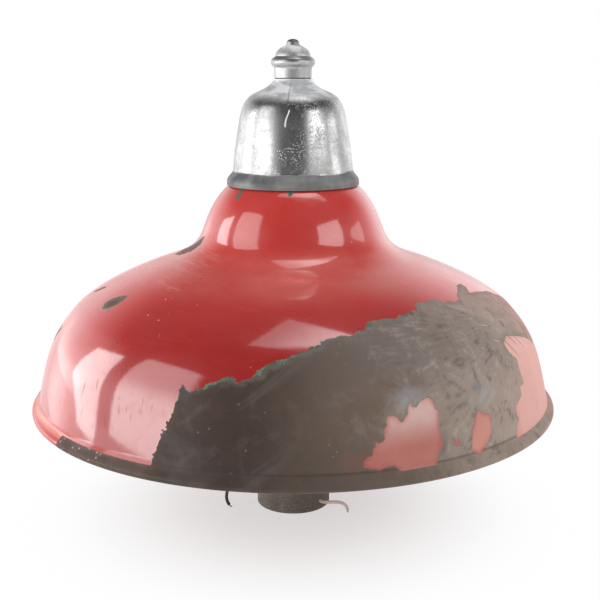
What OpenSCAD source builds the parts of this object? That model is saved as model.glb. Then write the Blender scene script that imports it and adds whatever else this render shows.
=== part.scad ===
// Post-top service station light. A cast fitter clamps on a pipe post, and a stem pipe rises from it to a
// hub that carries the enamelled shade, three lampholders and, under a cast cap, the wiring splices.
// Millimetres, +Z up. The fitter's foot stands at z = 0 and everything is on one vertical axis.

/* [Shade] */
// Outer diameter of the rolled rim
rim_d = 610; // [580:1:640]
// Height of the rim's lowest edge above the fitter's foot
rim_z = 134; // [125:1:150]
// Height of the shade from the rim's lowest edge to the flat top of the neck
shade_h = 259; // [250:1:268]
// Thickness of the enamelled sheet
sheet = 1.6; // [1.2:0.1:2]
// Radius of the rim's rolled bead
bead_r = 4; // [3.6:0.1:5]
// Radius of the flat top of the neck
neck_top_r = 60; // [58:0.5:62]
// Radius of the neck where its side is steepest
waist_r = 99; // [97:0.5:102]
// Depth of that place below the top of the neck
waist_drop = 41; // [39:0.5:44]
// Radius where the neck has flared into the dome
dome_r = 149; // [144:1:154]
// Depth of that place below the top of the neck
dome_drop = 90.5; // [87:0.5:94]
// Radius where the dome turns down into the skirt
skirt_r = 255; // [251:1:259]
// Depth of that place below the top of the neck
skirt_drop = 146; // [142:1:150]
// Radius of the hole in the flat top of the neck
neck_hole_r = 50; // [49:0.5:51]

/* [Cap] */
// Outer radius of the cap's lower edge
cap_base_r = 76; // [75:0.5:78]
// Height of the cap
cap_h = 118.7; // [112:0.1:126]
// Wall of the casting
cap_wall = 4; // [3:0.5:5]
// Height of the flared band at the cap's lower edge
band_h = 16.5; // [14:0.5:20]
// Outer radius just above the band
band_r = 69; // [68:0.5:70]
// Outer radius at the start of the shoulder
shoulder_r = 62; // [60:0.5:63]
// Depth of the start of the shoulder below the cap's top
shoulder_drop = 51; // [47:0.5:55]
// Outer radius of the crown above the shoulder
crown_r = 42; // [40:0.5:44]
// Depth of the crown below the cap's top
crown_drop = 15; // [14:0.5:17]
// Radius of the flat top
cap_top_r = 22.5; // [21.5:0.5:24]
// Thickness of the flat top
cap_top_wall = 8; // [6:0.5:10]
// Radius of the screw hole in the cap and the finial
cap_hole_r = 3.6; // [3.4:0.1:4.5]

/* [Finial] */
// Height of the finial without its screw
finial_h = 36; // [34:0.5:38]
// Radius of the finial's neck
finial_neck_r = 21.2; // [20:0.1:22]
// Radius of the finial's ring
finial_ring_r = 25; // [24.5:0.1:27]
// Height of the ring's middle above the finial's foot
finial_ring_z = 17.5; // [17:0.1:18]
// Radius of the section of the ring
finial_bead_r = 5.5; // [5:0.1:6]
// Radius of the finial's flat top
finial_top_r = 8; // [7.5:0.1:9]
// Thickness of the fibre washer under the finial
fibre_h = 0.8; // [0.6:0.1:1.5]
// Width of the gasket under the cap
gasket_w = 2.6; // [2:0.1:4]
// How far the gasket stands in from the cap's lower edge
gasket_back = 5.3; // [4.5:0.1:6.5]
// Thickness of the gasket at its inner edge
gasket_h = 1.2; // [0.8:0.1:1.8]

/* [Top screw] */
// Radius of the screw and rod threads
rod_r = 3.17; // [3:0.01:3.3]
// Radius of the round head
head_r = 6.9; // [6.5:0.1:7.4]
// Height of the round head
head_h = 5.8; // [5:0.1:6.5]
// Radius of the washer under the head
washer_r = 7.9; // [7.5:0.1:8.5]
// Thickness of that washer
washer_h = 1.2; // [0.8:0.1:1.6]
// Rise of the screw in one turn
screw_pitch = 1.27; // [1:0.01:1.5]
// Turns that the screw is engaged in its nut
screw_turns = 8; // [6:1:9]
// Length of the coupling nut that joins the screw to the rod
coupling_h = 22; // [20:1:26]
// Width across the flats of the coupling nut and of the rod's lock nut
small_flats = 11.1; // [10.5:0.1:12]

/* [Post fitter] */
// Bore that takes the post
bore_r = 37.5; // [37:0.1:38]
// Wall of the fitter round the bore
fitter_wall = 6.5; // [6.4:0.1:8]
// Depth of the bore from the foot to the stop
bore_depth = 105; // [100:1:108]
// Width of the stop that the post's end meets
stop_w = 4.5; // [3:0.5:5]
// Height of the fitter's straight wall
fitter_straight = 113; // [112:1:118]
// Height of the fitter's shoulder above the straight wall
fitter_rise = 33; // [30:1:38]
// Outer radius of the fitter's pipe collar
collar_r = 26; // [25:0.5:28]
// Height of the pipe collar
collar_h = 19; // [16:1:24]
// Rounding of the foot's outer edge
foot_edge = 1.5; // [1:0.5:2]

/* [Set screws] */
// Height of the set screws above the foot
set_z = 45; // [40:1:50]
// Radius of the set screws
set_r = 4.76; // [4.5:0.01:5]
// Play of the set screws in their tapped holes
set_play = 0.06; // [0.04:0.01:0.09]
// Radius of the bosses that the set screws pass through
boss_r = 9.5; // [9:0.5:11]
// Height of those bosses above the wall
boss_h = 4; // [3:0.5:5]
// Width across the flats of the square heads
set_flats = 9.5; // [9:0.1:10.5]
// Height of the square heads
set_head = 7; // [6:0.5:8]
// How far the points stand back from the bore
set_back = 0.5; // [0.3:0.1:1]
// How far the set screws still turn in before their heads meet the bosses
set_travel = 6; // [5.5:0.5:8]

/* [Stem and hub] */
// Outer radius of the stem pipe
pipe_r = 16.7; // [16.2:0.1:17.2]
// Wall of the stem pipe
pipe_wall = 3.4; // [3:0.1:3.6]
// Length of thread at each end of the pipe
pipe_seat = 21; // [18:1:24]
// Gap in the seats of the pipe and of the other fixed threads
seat_gap = 0.05; // [0.03:0.01:0.1]
// Width across the flats of the stem's lock nuts
lock_flats = 44; // [42:1:46]
// Height of those nuts
lock_h = 8; // [6:0.5:10]
// Outer radius of the hub's boss
hub_r = 24; // [22.5:0.5:25]
// Thickness of the hub's top flange
flange_h = 6; // [5:0.5:7]
// Radius of the lower flange that carries the lampholder plate
plate_flange_r = 36; // [35:0.5:38]
// Thickness of the lower flange
plate_flange_h = 5; // [4:0.5:6]
// Open height between the two flanges
flange_gap = 13.4; // [12:0.2:15]
// Thickness of the webs between the flanges
web_w = 6; // [5:0.5:8]
// Thickness of the ring that clamps the shade on the hub
clamp_ring_h = 2; // [1.5:0.1:3]
// Radius of the heads of the clamp and plate screws
screw_head_r = 4; // [3.6:0.1:4.2]
// Height of those heads
screw_head_h = 2.4; // [2:0.1:3]
// Outer radius of the hub's wiring chamber
chamber_r = 20; // [18.5:0.5:22]
// Height of the wiring chamber above the top flange
chamber_h = 38.6; // [36:0.2:42]
// Thickness of the chamber's closed top
chamber_top = 8; // [6:0.5:10]
// Radius of the two wire windows in the chamber
window_r = 5.5; // [5:0.1:6]
// Height of the windows above the top flange
window_z = 12.6; // [11.8:0.2:13.4]

/* [Lampholders] */
// Distance of the lampholders from the axis
lamp_circle_r = 62; // [61:0.5:63]
// Radius of the plate that carries the lampholders
plate_r = 87.5; // [86.5:0.5:88]
// Thickness of that plate
plate_t = 2; // [1.5:0.1:2.5]
// Depth of the plate's turned-down edge
plate_lip = 10; // [6:1:12]
// Height of a lampholder from its mouth to the plate
lamp_h = 45; // [42:1:48]
// Radius of a lampholder at the plate
lamp_top_r = 21.5; // [21:0.5:22]
// Radius of a lampholder at its mouth
lamp_mouth_r = 19; // [18.5:0.5:20]
// Inner radius of the screw shell
shell_r = 13.3; // [13.1:0.1:13.5]
// Thickness of the screw shell
shell_t = 0.6; // [0.5:0.1:0.8]
// Length of the screw shell's threaded wall
shell_l = 22; // [20:1:24]
// Depth of the shell's lower edge inside the mouth
shell_in = 4; // [3:0.5:5]
// Radius of the lampholder's boss in the plate
lamp_boss_r = 11.6; // [11:0.1:12]
// Distance between a lampholder's axis and each of its terminals
terminal_x = 6.5; // [6:0.1:7]
// Distance between a lampholder's axis and each of its mounting screws
lamp_screw_x = 17; // [16.6:0.1:17.4]
// Radius of the mounting screws' heads
lamp_screw_head_r = 3.5; // [3.2:0.1:3.8]
// Height of those heads
lamp_screw_head_h = 2.2; // [1.8:0.1:2.6]
// Length of the mounting screws in the porcelain
lamp_screw_in = 10; // [8:0.5:11]

/* [Leads] */
// Diameter of the supply leads
lead_d = 3.8; // [3.6:0.1:4]
// Diameter of the wires between the lampholders
loop_d = 2.6; // [2.2:0.1:2.8]
// Width of the two wireways beside the bore
way_w = 5; // [4.6:0.1:6]
// Radius of the wire nuts
nut_r = 7.5; // [7:0.1:7.8]
// Height of the wire nuts
nut_h = 24; // [20:1:28]
// Height of the white lead's hole above the foot
white_hole_z = 11; // [10:0.5:12]
// Height of the black lead's hole above the foot
black_hole_z = 62; // [60:1:64]
// Direction of the white lead's hole, counter-clockwise from +X
white_az = -43.5; // [-45:0.5:-42]
// Direction of the black lead's hole, counter-clockwise from +X
black_az = 194; // [192:0.5:196]

/* [Hidden] */
$fn = 96;

// Points of a smooth line in the plane of a revolve
function dir(a) = [cos(a), sin(a)];
function arc(c, r, a, b, n) = [for (i = [0 : n]) c + r * dir(a + (b - a) * i / n)];
function bend(p, a, h, q, b, k, n) =
    let (c = p + h * dir(a), d = q - k * dir(b))
    [for (i = [0 : n - 1]) let (t = i / n, s = 1 - t)
        s * s * s * p + 3 * s * s * t * c + 3 * s * t * t * d + t * t * t * q];
function unit(v) = v / norm(v);
function backwards(p) = [for (i = [len(p) - 1 : -1 : 0]) p[i]];
// The same line moved by w to its right
function beside(p, w) = [for (i = [0 : len(p) - 1])
    let (d = unit(p[min(i + 1, len(p) - 1)] - p[max(i - 1, 0)]))
    p[i] + w * [d[1], -d[0]]];
function polar(r, az, z) = [r * cos(az), r * sin(az), z];
// A smooth line through places in space, with n steps from each to the next
function between(a, b, c, d, u) =
    let (t1 = sqrt(norm(b - a)), t2 = t1 + sqrt(norm(c - b)), t3 = t2 + sqrt(norm(d - c)),
        t = t1 + (t2 - t1) * u,
        e = ((t1 - t) * a + t * b) / t1,
        f = ((t2 - t) * b + (t - t1) * c) / (t2 - t1),
        g = ((t3 - t) * c + (t - t2) * d) / (t3 - t2),
        h = ((t2 - t) * e + t * f) / t2,
        k = ((t3 - t) * f + (t - t1) * g) / (t3 - t1))
    ((t2 - t) * h + (t - t1) * k) / (t2 - t1);
function through(p, n) =
    let (last = len(p) - 1, q = concat([2 * p[0] - p[1]], p, [2 * p[last] - p[last - 1]]))
    concat([for (i = [1 : last]) for (k = [0 : n - 1]) between(q[i - 1], q[i], q[i + 1], q[i + 2], k / n)],
        [p[last]]);

// Outline of the shade, from the flat top of the neck to the end of the rim's curl
rim_r = rim_d / 2;
shade_top_z = rim_z + shade_h;
bead_c = [rim_r - bead_r, rim_z + bead_r];
skirt_end = [rim_r - 2.1 * bead_r, rim_z + 4 * bead_r];
bend_steps = 14;
neck_line = bend([neck_top_r, shade_top_z], 0, 12, [waist_r, shade_top_z - waist_drop], -67, 29, bend_steps);
dome_line = bend([waist_r, shade_top_z - waist_drop], -67, 24,
    [dome_r, shade_top_z - dome_drop], -18, 44, bend_steps);
crown_line = bend([dome_r, shade_top_z - dome_drop], -18, 33,
    [skirt_r, shade_top_z - skirt_drop], -48, 32, bend_steps);
skirt_line = bend([skirt_r, shade_top_z - skirt_drop], -48, 37, skirt_end, -78, 54, bend_steps);
flare_line = bend(skirt_end, -78, bead_r, bead_c + bead_r * dir(45), -45, bead_r, 6);
shade_line = concat([[neck_hole_r, shade_top_z]], neck_line, dome_line, crown_line, skirt_line, flare_line,
    arc(bead_c, bead_r, 45, -210, 17));
clamp_circle_r = (neck_hole_r + neck_top_r) / 2;
clamp_az = [90, 210, 330];

// Heights of the hub, which the flat top of the neck lies on
hub_top = shade_top_z - sheet;
plate_flange_top = hub_top - flange_h - flange_gap;
plate_top = plate_flange_top - plate_flange_h;
pipe_top = plate_top - 1;
hub_foot = pipe_top - pipe_seat;
chamber_z = hub_top + chamber_h;
wire_hole_r = 3;
wire_hole_x = 43.5;
plate_screw_circle = 31;
pipe_bore = pipe_r - pipe_wall;

// Cap: its gasket is a wedge that follows the neck just inside the cap's lower edge
seat_lift = 0.02;
gasket_out_r = cap_base_r - gasket_back;
gasket_in_r = gasket_out_r - gasket_w;
gasket_under = [for (r = concat([gasket_in_r],
    [for (p = neck_line) if (p[0] > gasket_in_r && p[0] < gasket_out_r) p[0]], [gasket_out_r]))
    [r, lookup(r, neck_line) + seat_lift]];
gasket_top = lookup(gasket_in_r, neck_line) + gasket_h;
cap_lift_gap = 2.4;
lip_depth = 4;
cap_base_z = max(lookup(cap_base_r, neck_line) + cap_lift_gap, gasket_top - lip_depth);
neck_clear = 0.05;
cap_ledge = concat(
    [[band_r - cap_wall, max(gasket_top, lookup(band_r - cap_wall, neck_line) + neck_clear)]],
    [for (p = neck_line) if (p[0] > band_r - cap_wall && p[0] < gasket_in_r && p[1] + neck_clear > gasket_top)
        p + [0, neck_clear]]);
neck_by_height = [for (p = neck_line) [p[1], p[0]]];
lip_r = max(lookup(cap_base_z, neck_by_height) + 0.7, gasket_out_r + 0.4);
cap_top_z = cap_base_z + cap_h;
band_line = bend([cap_base_r, cap_base_z + 4], 90, 5.5, [band_r, cap_base_z + band_h], 95, 4, 8);
cap_line = concat([[cap_base_r, cap_base_z]], band_line,
    bend([band_r, cap_base_z + band_h], 95, 16, [shoulder_r, cap_top_z - shoulder_drop], 99, 16, 8),
    bend([shoulder_r, cap_top_z - shoulder_drop], 99, 14, [crown_r, cap_top_z - crown_drop], 158, 16, 10),
    bend([crown_r, cap_top_z - crown_drop], 158, 8, [cap_top_r, cap_top_z], 92, 7, 8),
    [[cap_top_r, cap_top_z]]);
cap_ceiling = cap_top_z - cap_top_wall;
cap_inside = concat(
    bend([band_r - cap_wall, cap_base_z + band_h], 95, 16,
        [shoulder_r - cap_wall, cap_top_z - shoulder_drop], 99, 16, 8),
    bend([shoulder_r - cap_wall, cap_top_z - shoulder_drop], 99, 11,
        [crown_r - cap_wall, cap_ceiling - 2 * cap_wall], 145, 12, 8),
    bend([crown_r - cap_wall, cap_ceiling - 2 * cap_wall], 145, 10,
        [cap_top_r - cap_wall, cap_ceiling], 180, 8, 6));

// Heights of the finial and the screw that holds it
finial_z = cap_top_z + fibre_h;
finial_top = finial_z + finial_h;
washer_top = finial_top + washer_h;
coupling_top = cap_ceiling - 1.2;
screw_tip = coupling_top - screw_turns * screw_pitch;
rod_top = coupling_top - coupling_h / 2 - 1;
thread_play = 0.05;

// Post fitter
foot_r = bore_r + fitter_wall;
collar_z = fitter_straight + fitter_rise;
fitter_top = collar_z + collar_h;
pipe_foot = fitter_top - pipe_seat;
set_az = [90, 210, 330];
set_tip = bore_r + set_back;
set_shank = foot_r + boss_h + set_travel - set_tip;
lead_r = lead_d / 2;
loop_r = loop_d / 2;
lead_gap = 0.4;
way_line = bore_r + 0.5 + lead_r;
way_r = way_line + lead_r + 0.3;

// Lampholders, one at each of these directions
front_az = 270;
left_az = 150;
right_az = 30;
lamp_az = [front_az, left_az, right_az];
plate_foot = plate_top - plate_t;
lamp_mouth_z = plate_foot - lamp_h;
shell_foot = lamp_mouth_z + shell_in;
shell_top = shell_foot + shell_l;
shell_floor = 0.8;
shell_clear = 0.5;
lamp_bore_r = shell_r + shell_t + shell_clear;
well_r = 9;
well_top = shell_top + shell_floor + 5.2;
boss_top = plate_top + 2;
small_screw_r = 2.08;
small_screw_play = 0.07;
terminal_r = 1.6;
terminal_head_r = 3.2;

// Routes of the leads, in round numbers along each wire's middle
wire_z = boss_top + 1.8;
black_loop_r = lamp_circle_r + terminal_x;
white_loop_r = lamp_circle_r - terminal_x;
nut_z = hub_top + 24.6;
riser_x = 39;
nut_x = (riser_x + wire_hole_x) / 2;
black_riser_route = [
    polar(foot_r, black_az, black_hole_z), polar(42, black_az, black_hole_z),
    polar(way_line + 0.6, black_az, black_hole_z + 1), polar(way_line, black_az, black_hole_z + 4),
    polar(way_line, black_az, 80), polar(way_line, black_az, bore_depth - 2),
    polar(way_line - 0.4, black_az, bore_depth + 1.2), polar(37.6, black_az, bore_depth + 3.6),
    polar(34.2, black_az, bore_depth + 5.4), polar(30.5, black_az, bore_depth + 7.8),
    polar(23, black_az, 119),
    polar(14, black_az, 129), polar(7, black_az, 140), polar(5.5, black_az, 150),
    polar(5.5, black_az, 200), polar(5.5, black_az, 260), polar(5.5, 190, 320),
    [-5.5, 0, 370], [-5.5, 0, 385], [-7, 0, 394], [-10.5, 0, 400], [-16, 0, 403.5], [-24, 0, 404.5],
    [-31, 0, 405.5], [-36, 0, 407.5], [-riser_x, 0, 411.5], [-riser_x, 0, nut_z]
];
white_riser_route = [
    polar(foot_r, white_az, white_hole_z), polar(42, white_az, white_hole_z),
    polar(way_line + 0.6, white_az, white_hole_z + 1), polar(way_line, white_az, white_hole_z + 4),
    polar(way_line, white_az, 40), polar(way_line, white_az, 70), polar(way_line, white_az, bore_depth - 2),
    polar(way_line - 0.4, white_az, bore_depth + 1.2), polar(37.6, white_az, bore_depth + 3.6),
    polar(34.2, white_az, bore_depth + 5.4), polar(30.5, white_az, bore_depth + 7.8),
    polar(23, white_az, 119),
    polar(14, white_az, 129), polar(7, white_az, 140), polar(5.5, white_az, 150),
    polar(5.5, white_az, 200), polar(5.5, white_az, 260), polar(5.5, -22, 320),
    [5.5, 0, 370], [5.5, 0, 385], [7, 0, 394], [10.5, 0, 400], [16, 0, 403.5], [24, 0, 404.5],
    [31, 0, 405.5], [36, 0, 407.5], [riser_x, 0, 411.5], [riser_x, 0, nut_z]
];
black_tap_route = [
    [-wire_hole_x, 0, nut_z], [-wire_hole_x, 0, 400], [-wire_hole_x, 0, 386], [-44.5, 2, 381.5],
    [-49, 9, 379.5], [-55, 17, 378], [-59.5, 24, 375], [-61.2, 29, 372], polar(black_loop_r, 153, wire_z)
];
white_tap_route = [
    [wire_hole_x, 0, nut_z], [wire_hole_x, 0, 400], [wire_hole_x, 0, 386], [44.2, 2.5, 379.5],
    [46.5, 9, 375], [49, 16, 372.6], [50.2, 21, 371.4], polar(white_loop_r, 26.2, wire_z)
];
lead_start_r = foot_r + 0.06;
black_lead_route = through([
    polar(lead_start_r, black_az, black_hole_z), polar(52, black_az, black_hole_z), [-61, -15.4, 59],
    [-69, -17.2, 51], [-74, -18.2, 40], [-77, -19, 29], [-80, -19.4, 19], [-81, -19.8, 12],
    [-80, -20.4, 6], [-77.6, -21.4, 2]
], 2);
white_lead_route = through([
    polar(lead_start_r, white_az, white_hole_z), polar(48, white_az, white_hole_z), [40.5, -36.3, 11.8],
    [48, -37.5, 12.5], [55.5, -37.5, 12], [61, -37.2, 9.6], [64.2, -37, 6], [65, -37, 2]
], 2);

// A wire along a route: eight-sided rings, each turned as little as it can be from the one before
function heading(p, i) = unit(p[min(i + 1, len(p) - 1)] - p[max(i - 1, 0)]);
function squared(v, h) = unit(v - (v * h) * h);
function ring_sides(p, i, last) = i == len(p) ? [] :
    let (s = squared(last, heading(p, i)))
    concat([s], ring_sides(p, i + 1, s));
module wire(route, r) {
    n = 8;
    first = abs(heading(route, 0)[2]) > 0.9 ? [1, 0.2, 0] : [0, 0, 1];
    s = ring_sides(route, 0, first);
    points = [for (i = [0 : len(route) - 1]) let (h = heading(route, i), q = cross(h, s[i]))
        for (k = [0 : n - 1]) route[i] + r * cos(360 * k / n) * s[i] + r * sin(360 * k / n) * q];
    last = (len(route) - 1) * n;
    side = [for (i = [0 : len(route) - 2]) for (k = [0 : n - 1])
        let (a = i * n + k, b = i * n + (k + 1) % n)
        each [[a, a + n, b], [b, a + n, b + n]]];
    start_cap = [for (k = [1 : n - 2]) [0, k, k + 1]];
    end_cap = [for (k = [1 : n - 2]) [last, last + k + 1, last + k]];
    polyhedron(points = points, faces = concat(side, start_cap, end_cap));
}

// A looping wire on a circle from one lampholder to the next, lifted between them
loop_lift = 6;
function loop_route(r, from, to) = [for (i = [0 : 16])
    polar(r, from + (to - from) * i / 16, wire_z + loop_lift * sin(180 * i / 16))];

// Places its children at each of the listed directions, r from the axis
module around(angles, r) {
    for (a = angles) rotate([0, 0, a]) translate([r, 0, 0]) children();
}

// A cylinder that points outwards from the axis
module radial(az, z, r, from, to) {
    rotate([0, 0, az]) translate([from, 0, z]) rotate([0, 90, 0]) cylinder(r = r, h = to - from);
}

module hex_nut(flats, h, hole) {
    difference() {
        cylinder(d = flats / cos(30), h = h, $fn = 6);
        translate([0, 0, -1]) cylinder(r = hole, h = h + 2);
    }
}

// Pan-headed screw that stands with the underside of its head at z = 0
module small_screw(r, l, hr, hh) {
    rotate_extrude() polygon(concat([[0, -l], [r - 0.4, -l], [r, 0.4 - l], [r, 0], [hr, 0], [hr, hh * 0.45]],
        arc([hr - hh * 0.55, hh * 0.45], hh * 0.55, 15, 90, 4), [[0, hh]]));
}
module slotted(l, hh) {
    difference() {
        children();
        translate([-l, -0.45, hh * 0.6]) cube([2 * l, 0.9, hh]);
    }
}

module post_fitter() color([0.42, 0.40, 0.37]) difference() {
    union() {
        rotate_extrude() polygon(concat(
            [[bore_r, 0], [foot_r - foot_edge, 0]],
            arc([foot_r - foot_edge, foot_edge], foot_edge, -90, 0, 4),
            bend([foot_r, fitter_straight], 90, 16, [collar_r, collar_z], 90, 14, 10),
            [[collar_r, collar_z], [collar_r, fitter_top - 1.5], [collar_r - 1.5, fitter_top],
                [pipe_r + seat_gap, fitter_top], [pipe_r + seat_gap, pipe_foot], [pipe_bore, pipe_foot],
                [pipe_bore, pipe_foot - 4], [20, pipe_foot - 11], [bore_r - stop_w, fitter_straight + 3],
                [bore_r - stop_w, bore_depth], [bore_r, bore_depth]]));
        for (a = set_az) radial(a, set_z, boss_r, bore_r + 2, foot_r + boss_h);
    }
    for (a = set_az) radial(a, set_z, set_r + set_play, bore_r - 2, foot_r + boss_h + 1);
    wireway(white_az, white_hole_z);
    wireway(black_az, black_hole_z);
}
module wireway(az, z) {
    rotate([0, 0, az]) translate([bore_r - stop_w - 1, -way_w / 2, z - lead_r - lead_gap])
        cube([way_r - bore_r + stop_w + 1, way_w, fitter_straight + 1.5 - z + lead_r + lead_gap]);
    radial(az, z, lead_r + lead_gap, bore_r - 1, foot_r + 2);
}

// Square-headed screw, drawn pointing at the axis from the direction az
module set_screw(az) color([0.33, 0.30, 0.28]) rotate([0, 0, az]) translate([set_tip, 0, set_z]) {
    rotate([0, 90, 0]) rotate_extrude() polygon([[0, 0], [set_r - 1.4, 0], [set_r, 1.4], [set_r, set_shank],
        [0, set_shank]]);
    translate([set_shank, -set_flats / 2, -set_flats / 2]) cube([set_head, set_flats, set_flats]);
}
module set_screw_back() set_screw(set_az[0]);
module set_screw_left() set_screw(set_az[1]);
module set_screw_right() set_screw(set_az[2]);

module stem_pipe() color([0.45, 0.44, 0.42]) difference() {
    translate([0, 0, pipe_foot]) cylinder(r = pipe_r, h = pipe_top - pipe_foot);
    translate([0, 0, pipe_foot - 1]) cylinder(r = pipe_bore, h = pipe_top - pipe_foot + 2);
}

module stem_lock_nuts() color([0.5, 0.48, 0.45]) {
    translate([0, 0, fitter_top]) hex_nut(lock_flats, lock_h, pipe_r + seat_gap);
    translate([0, 0, hub_foot - lock_h]) hex_nut(lock_flats, lock_h, pipe_r + seat_gap);
}

module hub() color([0.55, 0.55, 0.54]) difference() {
    union() {
        rotate_extrude() polygon([[0, hub_foot], [hub_r - 1, hub_foot], [hub_r, hub_foot + 1],
            [hub_r, plate_top], [plate_flange_r, plate_top], [plate_flange_r, plate_flange_top - 1],
            [plate_flange_r - 1, plate_flange_top], [hub_r, plate_flange_top], [hub_r, hub_top - flange_h],
            [neck_top_r - 2, hub_top - flange_h], [neck_top_r - 0.2, hub_top - flange_h + 2],
            [neck_top_r - 0.2, hub_top], [chamber_r + 3, hub_top], [chamber_r, hub_top + 3],
            [chamber_r, chamber_z - 2], [chamber_r - 2, chamber_z], [0, chamber_z]]);
        for (a = clamp_az) rotate([0, 0, a]) translate([hub_r - 2, -web_w / 2, plate_flange_top - 1])
            cube([neck_hole_r - hub_r, web_w, flange_gap + 2]);
    }
    translate([0, 0, hub_foot - 1]) cylinder(r = pipe_r + seat_gap, h = pipe_seat + 1);
    translate([0, 0, pipe_top - 1]) cylinder(r = pipe_bore, h = chamber_z - chamber_top - pipe_top + 1);
    translate([0, 0, chamber_z - chamber_top - 1]) cylinder(r = rod_r + thread_play, h = chamber_top + 2);
    for (a = [0, 180]) {
        radial(a, hub_top + window_z, window_r, pipe_bore - 3, chamber_r + 3);
        rotate([0, 0, a]) translate([wire_hole_x, 0, hub_top - flange_h - 1])
            cylinder(r = wire_hole_r, h = flange_h + 2);
    }
    around(clamp_az, clamp_circle_r) translate([0, 0, hub_top - flange_h - 1])
        cylinder(r = small_screw_r + small_screw_play, h = flange_h + 2);
    around(clamp_az, plate_screw_circle) translate([0, 0, plate_top - 1])
        cylinder(r = small_screw_r + small_screw_play, h = plate_flange_h + 1);
}

module lampholder_plate() color([0.93, 0.92, 0.88]) difference() {
    rotate_extrude() polygon(concat([[hub_r + 0.4, plate_foot], [plate_r - plate_t - 2, plate_foot]],
        arc([plate_r - plate_t - 2, plate_foot - 2], 2, 90, 0, 4),
        [[plate_r - plate_t, plate_top - plate_lip], [plate_r, plate_top - plate_lip]],
        arc([plate_r - plate_t - 2, plate_foot - 2], plate_t + 2, 0, 90, 4), [[hub_r + 0.4, plate_top]]));
    around(lamp_az, lamp_circle_r) {
        translate([0, 0, plate_foot - 1]) cylinder(r = lamp_boss_r + 0.4, h = plate_t + 2);
        for (y = [-lamp_screw_x, lamp_screw_x]) translate([0, y, plate_foot - 1])
            cylinder(r = small_screw_r + 0.4, h = plate_t + 2);
    }
    around(clamp_az, plate_screw_circle) translate([0, 0, plate_foot - 1])
        cylinder(r = small_screw_r + 0.4, h = plate_t + 2);
}

module plate_screws() color([0.6, 0.58, 0.54]) around(clamp_az, plate_screw_circle)
    translate([0, 0, plate_foot]) rotate([180, 0, 0])
        slotted(screw_head_r + 1, screw_head_h)
        small_screw(small_screw_r, plate_t + plate_flange_h - 0.5, screw_head_r, screw_head_h);

// A lampholder stands on its own axis here, and is then set round the hub
module lampholder(az) color([0.95, 0.94, 0.9]) around([az], lamp_circle_r) difference() {
    rotate_extrude() polygon(concat(
        [[0, well_top], [well_r, well_top], [well_r, shell_top + shell_floor],
            [lamp_bore_r, shell_top + shell_floor], [lamp_bore_r, lamp_mouth_z + 1.5],
            [lamp_bore_r + 1.5, lamp_mouth_z]],
        arc([lamp_mouth_r - 1, lamp_mouth_z + 2], 2, -60, 20, 4),
        bend([lamp_mouth_r, lamp_mouth_z + 4], 90, 14, [lamp_top_r, plate_foot - 14], 90, 8, 6),
        [[lamp_top_r, plate_foot - 14], [lamp_top_r, plate_foot - 1], [lamp_top_r - 1, plate_foot],
            [lamp_boss_r, plate_foot], [lamp_boss_r, boss_top - 0.6], [lamp_boss_r - 0.6, boss_top],
            [0, boss_top]]));
    for (y = [-lamp_screw_x, lamp_screw_x]) translate([0, y, plate_foot - lamp_screw_in - 2])
        cylinder(r = small_screw_r + small_screw_play, h = lamp_screw_in + 4);
    for (x = [-terminal_x, terminal_x]) translate([x, 0, boss_top - 6])
        cylinder(r = terminal_r + small_screw_play, h = 8);
    translate([0, 0, well_top - 1]) cylinder(r = terminal_r, h = boss_top - well_top + 2);
}
module lampholder_front() lampholder(front_az);
module lampholder_left() lampholder(left_az);
module lampholder_right() lampholder(right_az);

module screw_shell(az) color([0.72, 0.56, 0.28]) around([az], lamp_circle_r) rotate_extrude()
    polygon([[shell_r, shell_foot], [shell_r + shell_t, shell_foot],
        [shell_r + shell_t, shell_top + shell_floor], [well_r - 1, shell_top + shell_floor],
        [well_r - 1, shell_top], [shell_r, shell_top]]);
module screw_shell_front() screw_shell(front_az);
module screw_shell_left() screw_shell(left_az);
module screw_shell_right() screw_shell(right_az);

// A folded brass tongue held by a rivet through the porcelain
module centre_contact(az) color([0.76, 0.60, 0.32]) around([az], lamp_circle_r) {
    translate([0, 3, 0]) rotate([90, 0, 0]) linear_extrude(6)
        polygon([[-3.5, well_top], [4, well_top], [5, well_top - 1], [4.6, well_top - 2],
            [-2.6, shell_top + 0.6], [-3, shell_top + 1.2], [3.9, well_top - 1.5], [3.6, well_top - 0.7],
            [-3.5, well_top - 0.7]]);
    translate([0, 0, well_top - 0.1]) cylinder(r = terminal_r - 0.05, h = boss_top - well_top + 0.2);
    translate([0, 0, boss_top]) cylinder(r = 2.6, h = 0.8);
}
module centre_contact_front() centre_contact(front_az);
module centre_contact_left() centre_contact(left_az);
module centre_contact_right() centre_contact(right_az);

module terminal_screws() color([0.78, 0.62, 0.32]) around(lamp_az, lamp_circle_r)
    for (x = [-terminal_x, terminal_x]) translate([x, 0, boss_top + 0.5])
        slotted(4, 2) small_screw(terminal_r, 6, terminal_head_r, 2);

module lampholder_screws() color([0.62, 0.60, 0.56]) around(lamp_az, lamp_circle_r)
    for (y = [-lamp_screw_x, lamp_screw_x]) translate([0, y, plate_top])
        slotted(lamp_screw_head_r + 1, lamp_screw_head_h)
        small_screw(small_screw_r, plate_t + lamp_screw_in, lamp_screw_head_r, lamp_screw_head_h);

module shade() color([0.66, 0.15, 0.17]) difference() {
    rotate_extrude($fn = 180) polygon(concat(shade_line, backwards(beside(shade_line, sheet))));
    around(clamp_az, clamp_circle_r) translate([0, 0, shade_top_z - sheet - 1])
        cylinder(r = small_screw_r + 0.5, h = sheet + 2);
}

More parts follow.
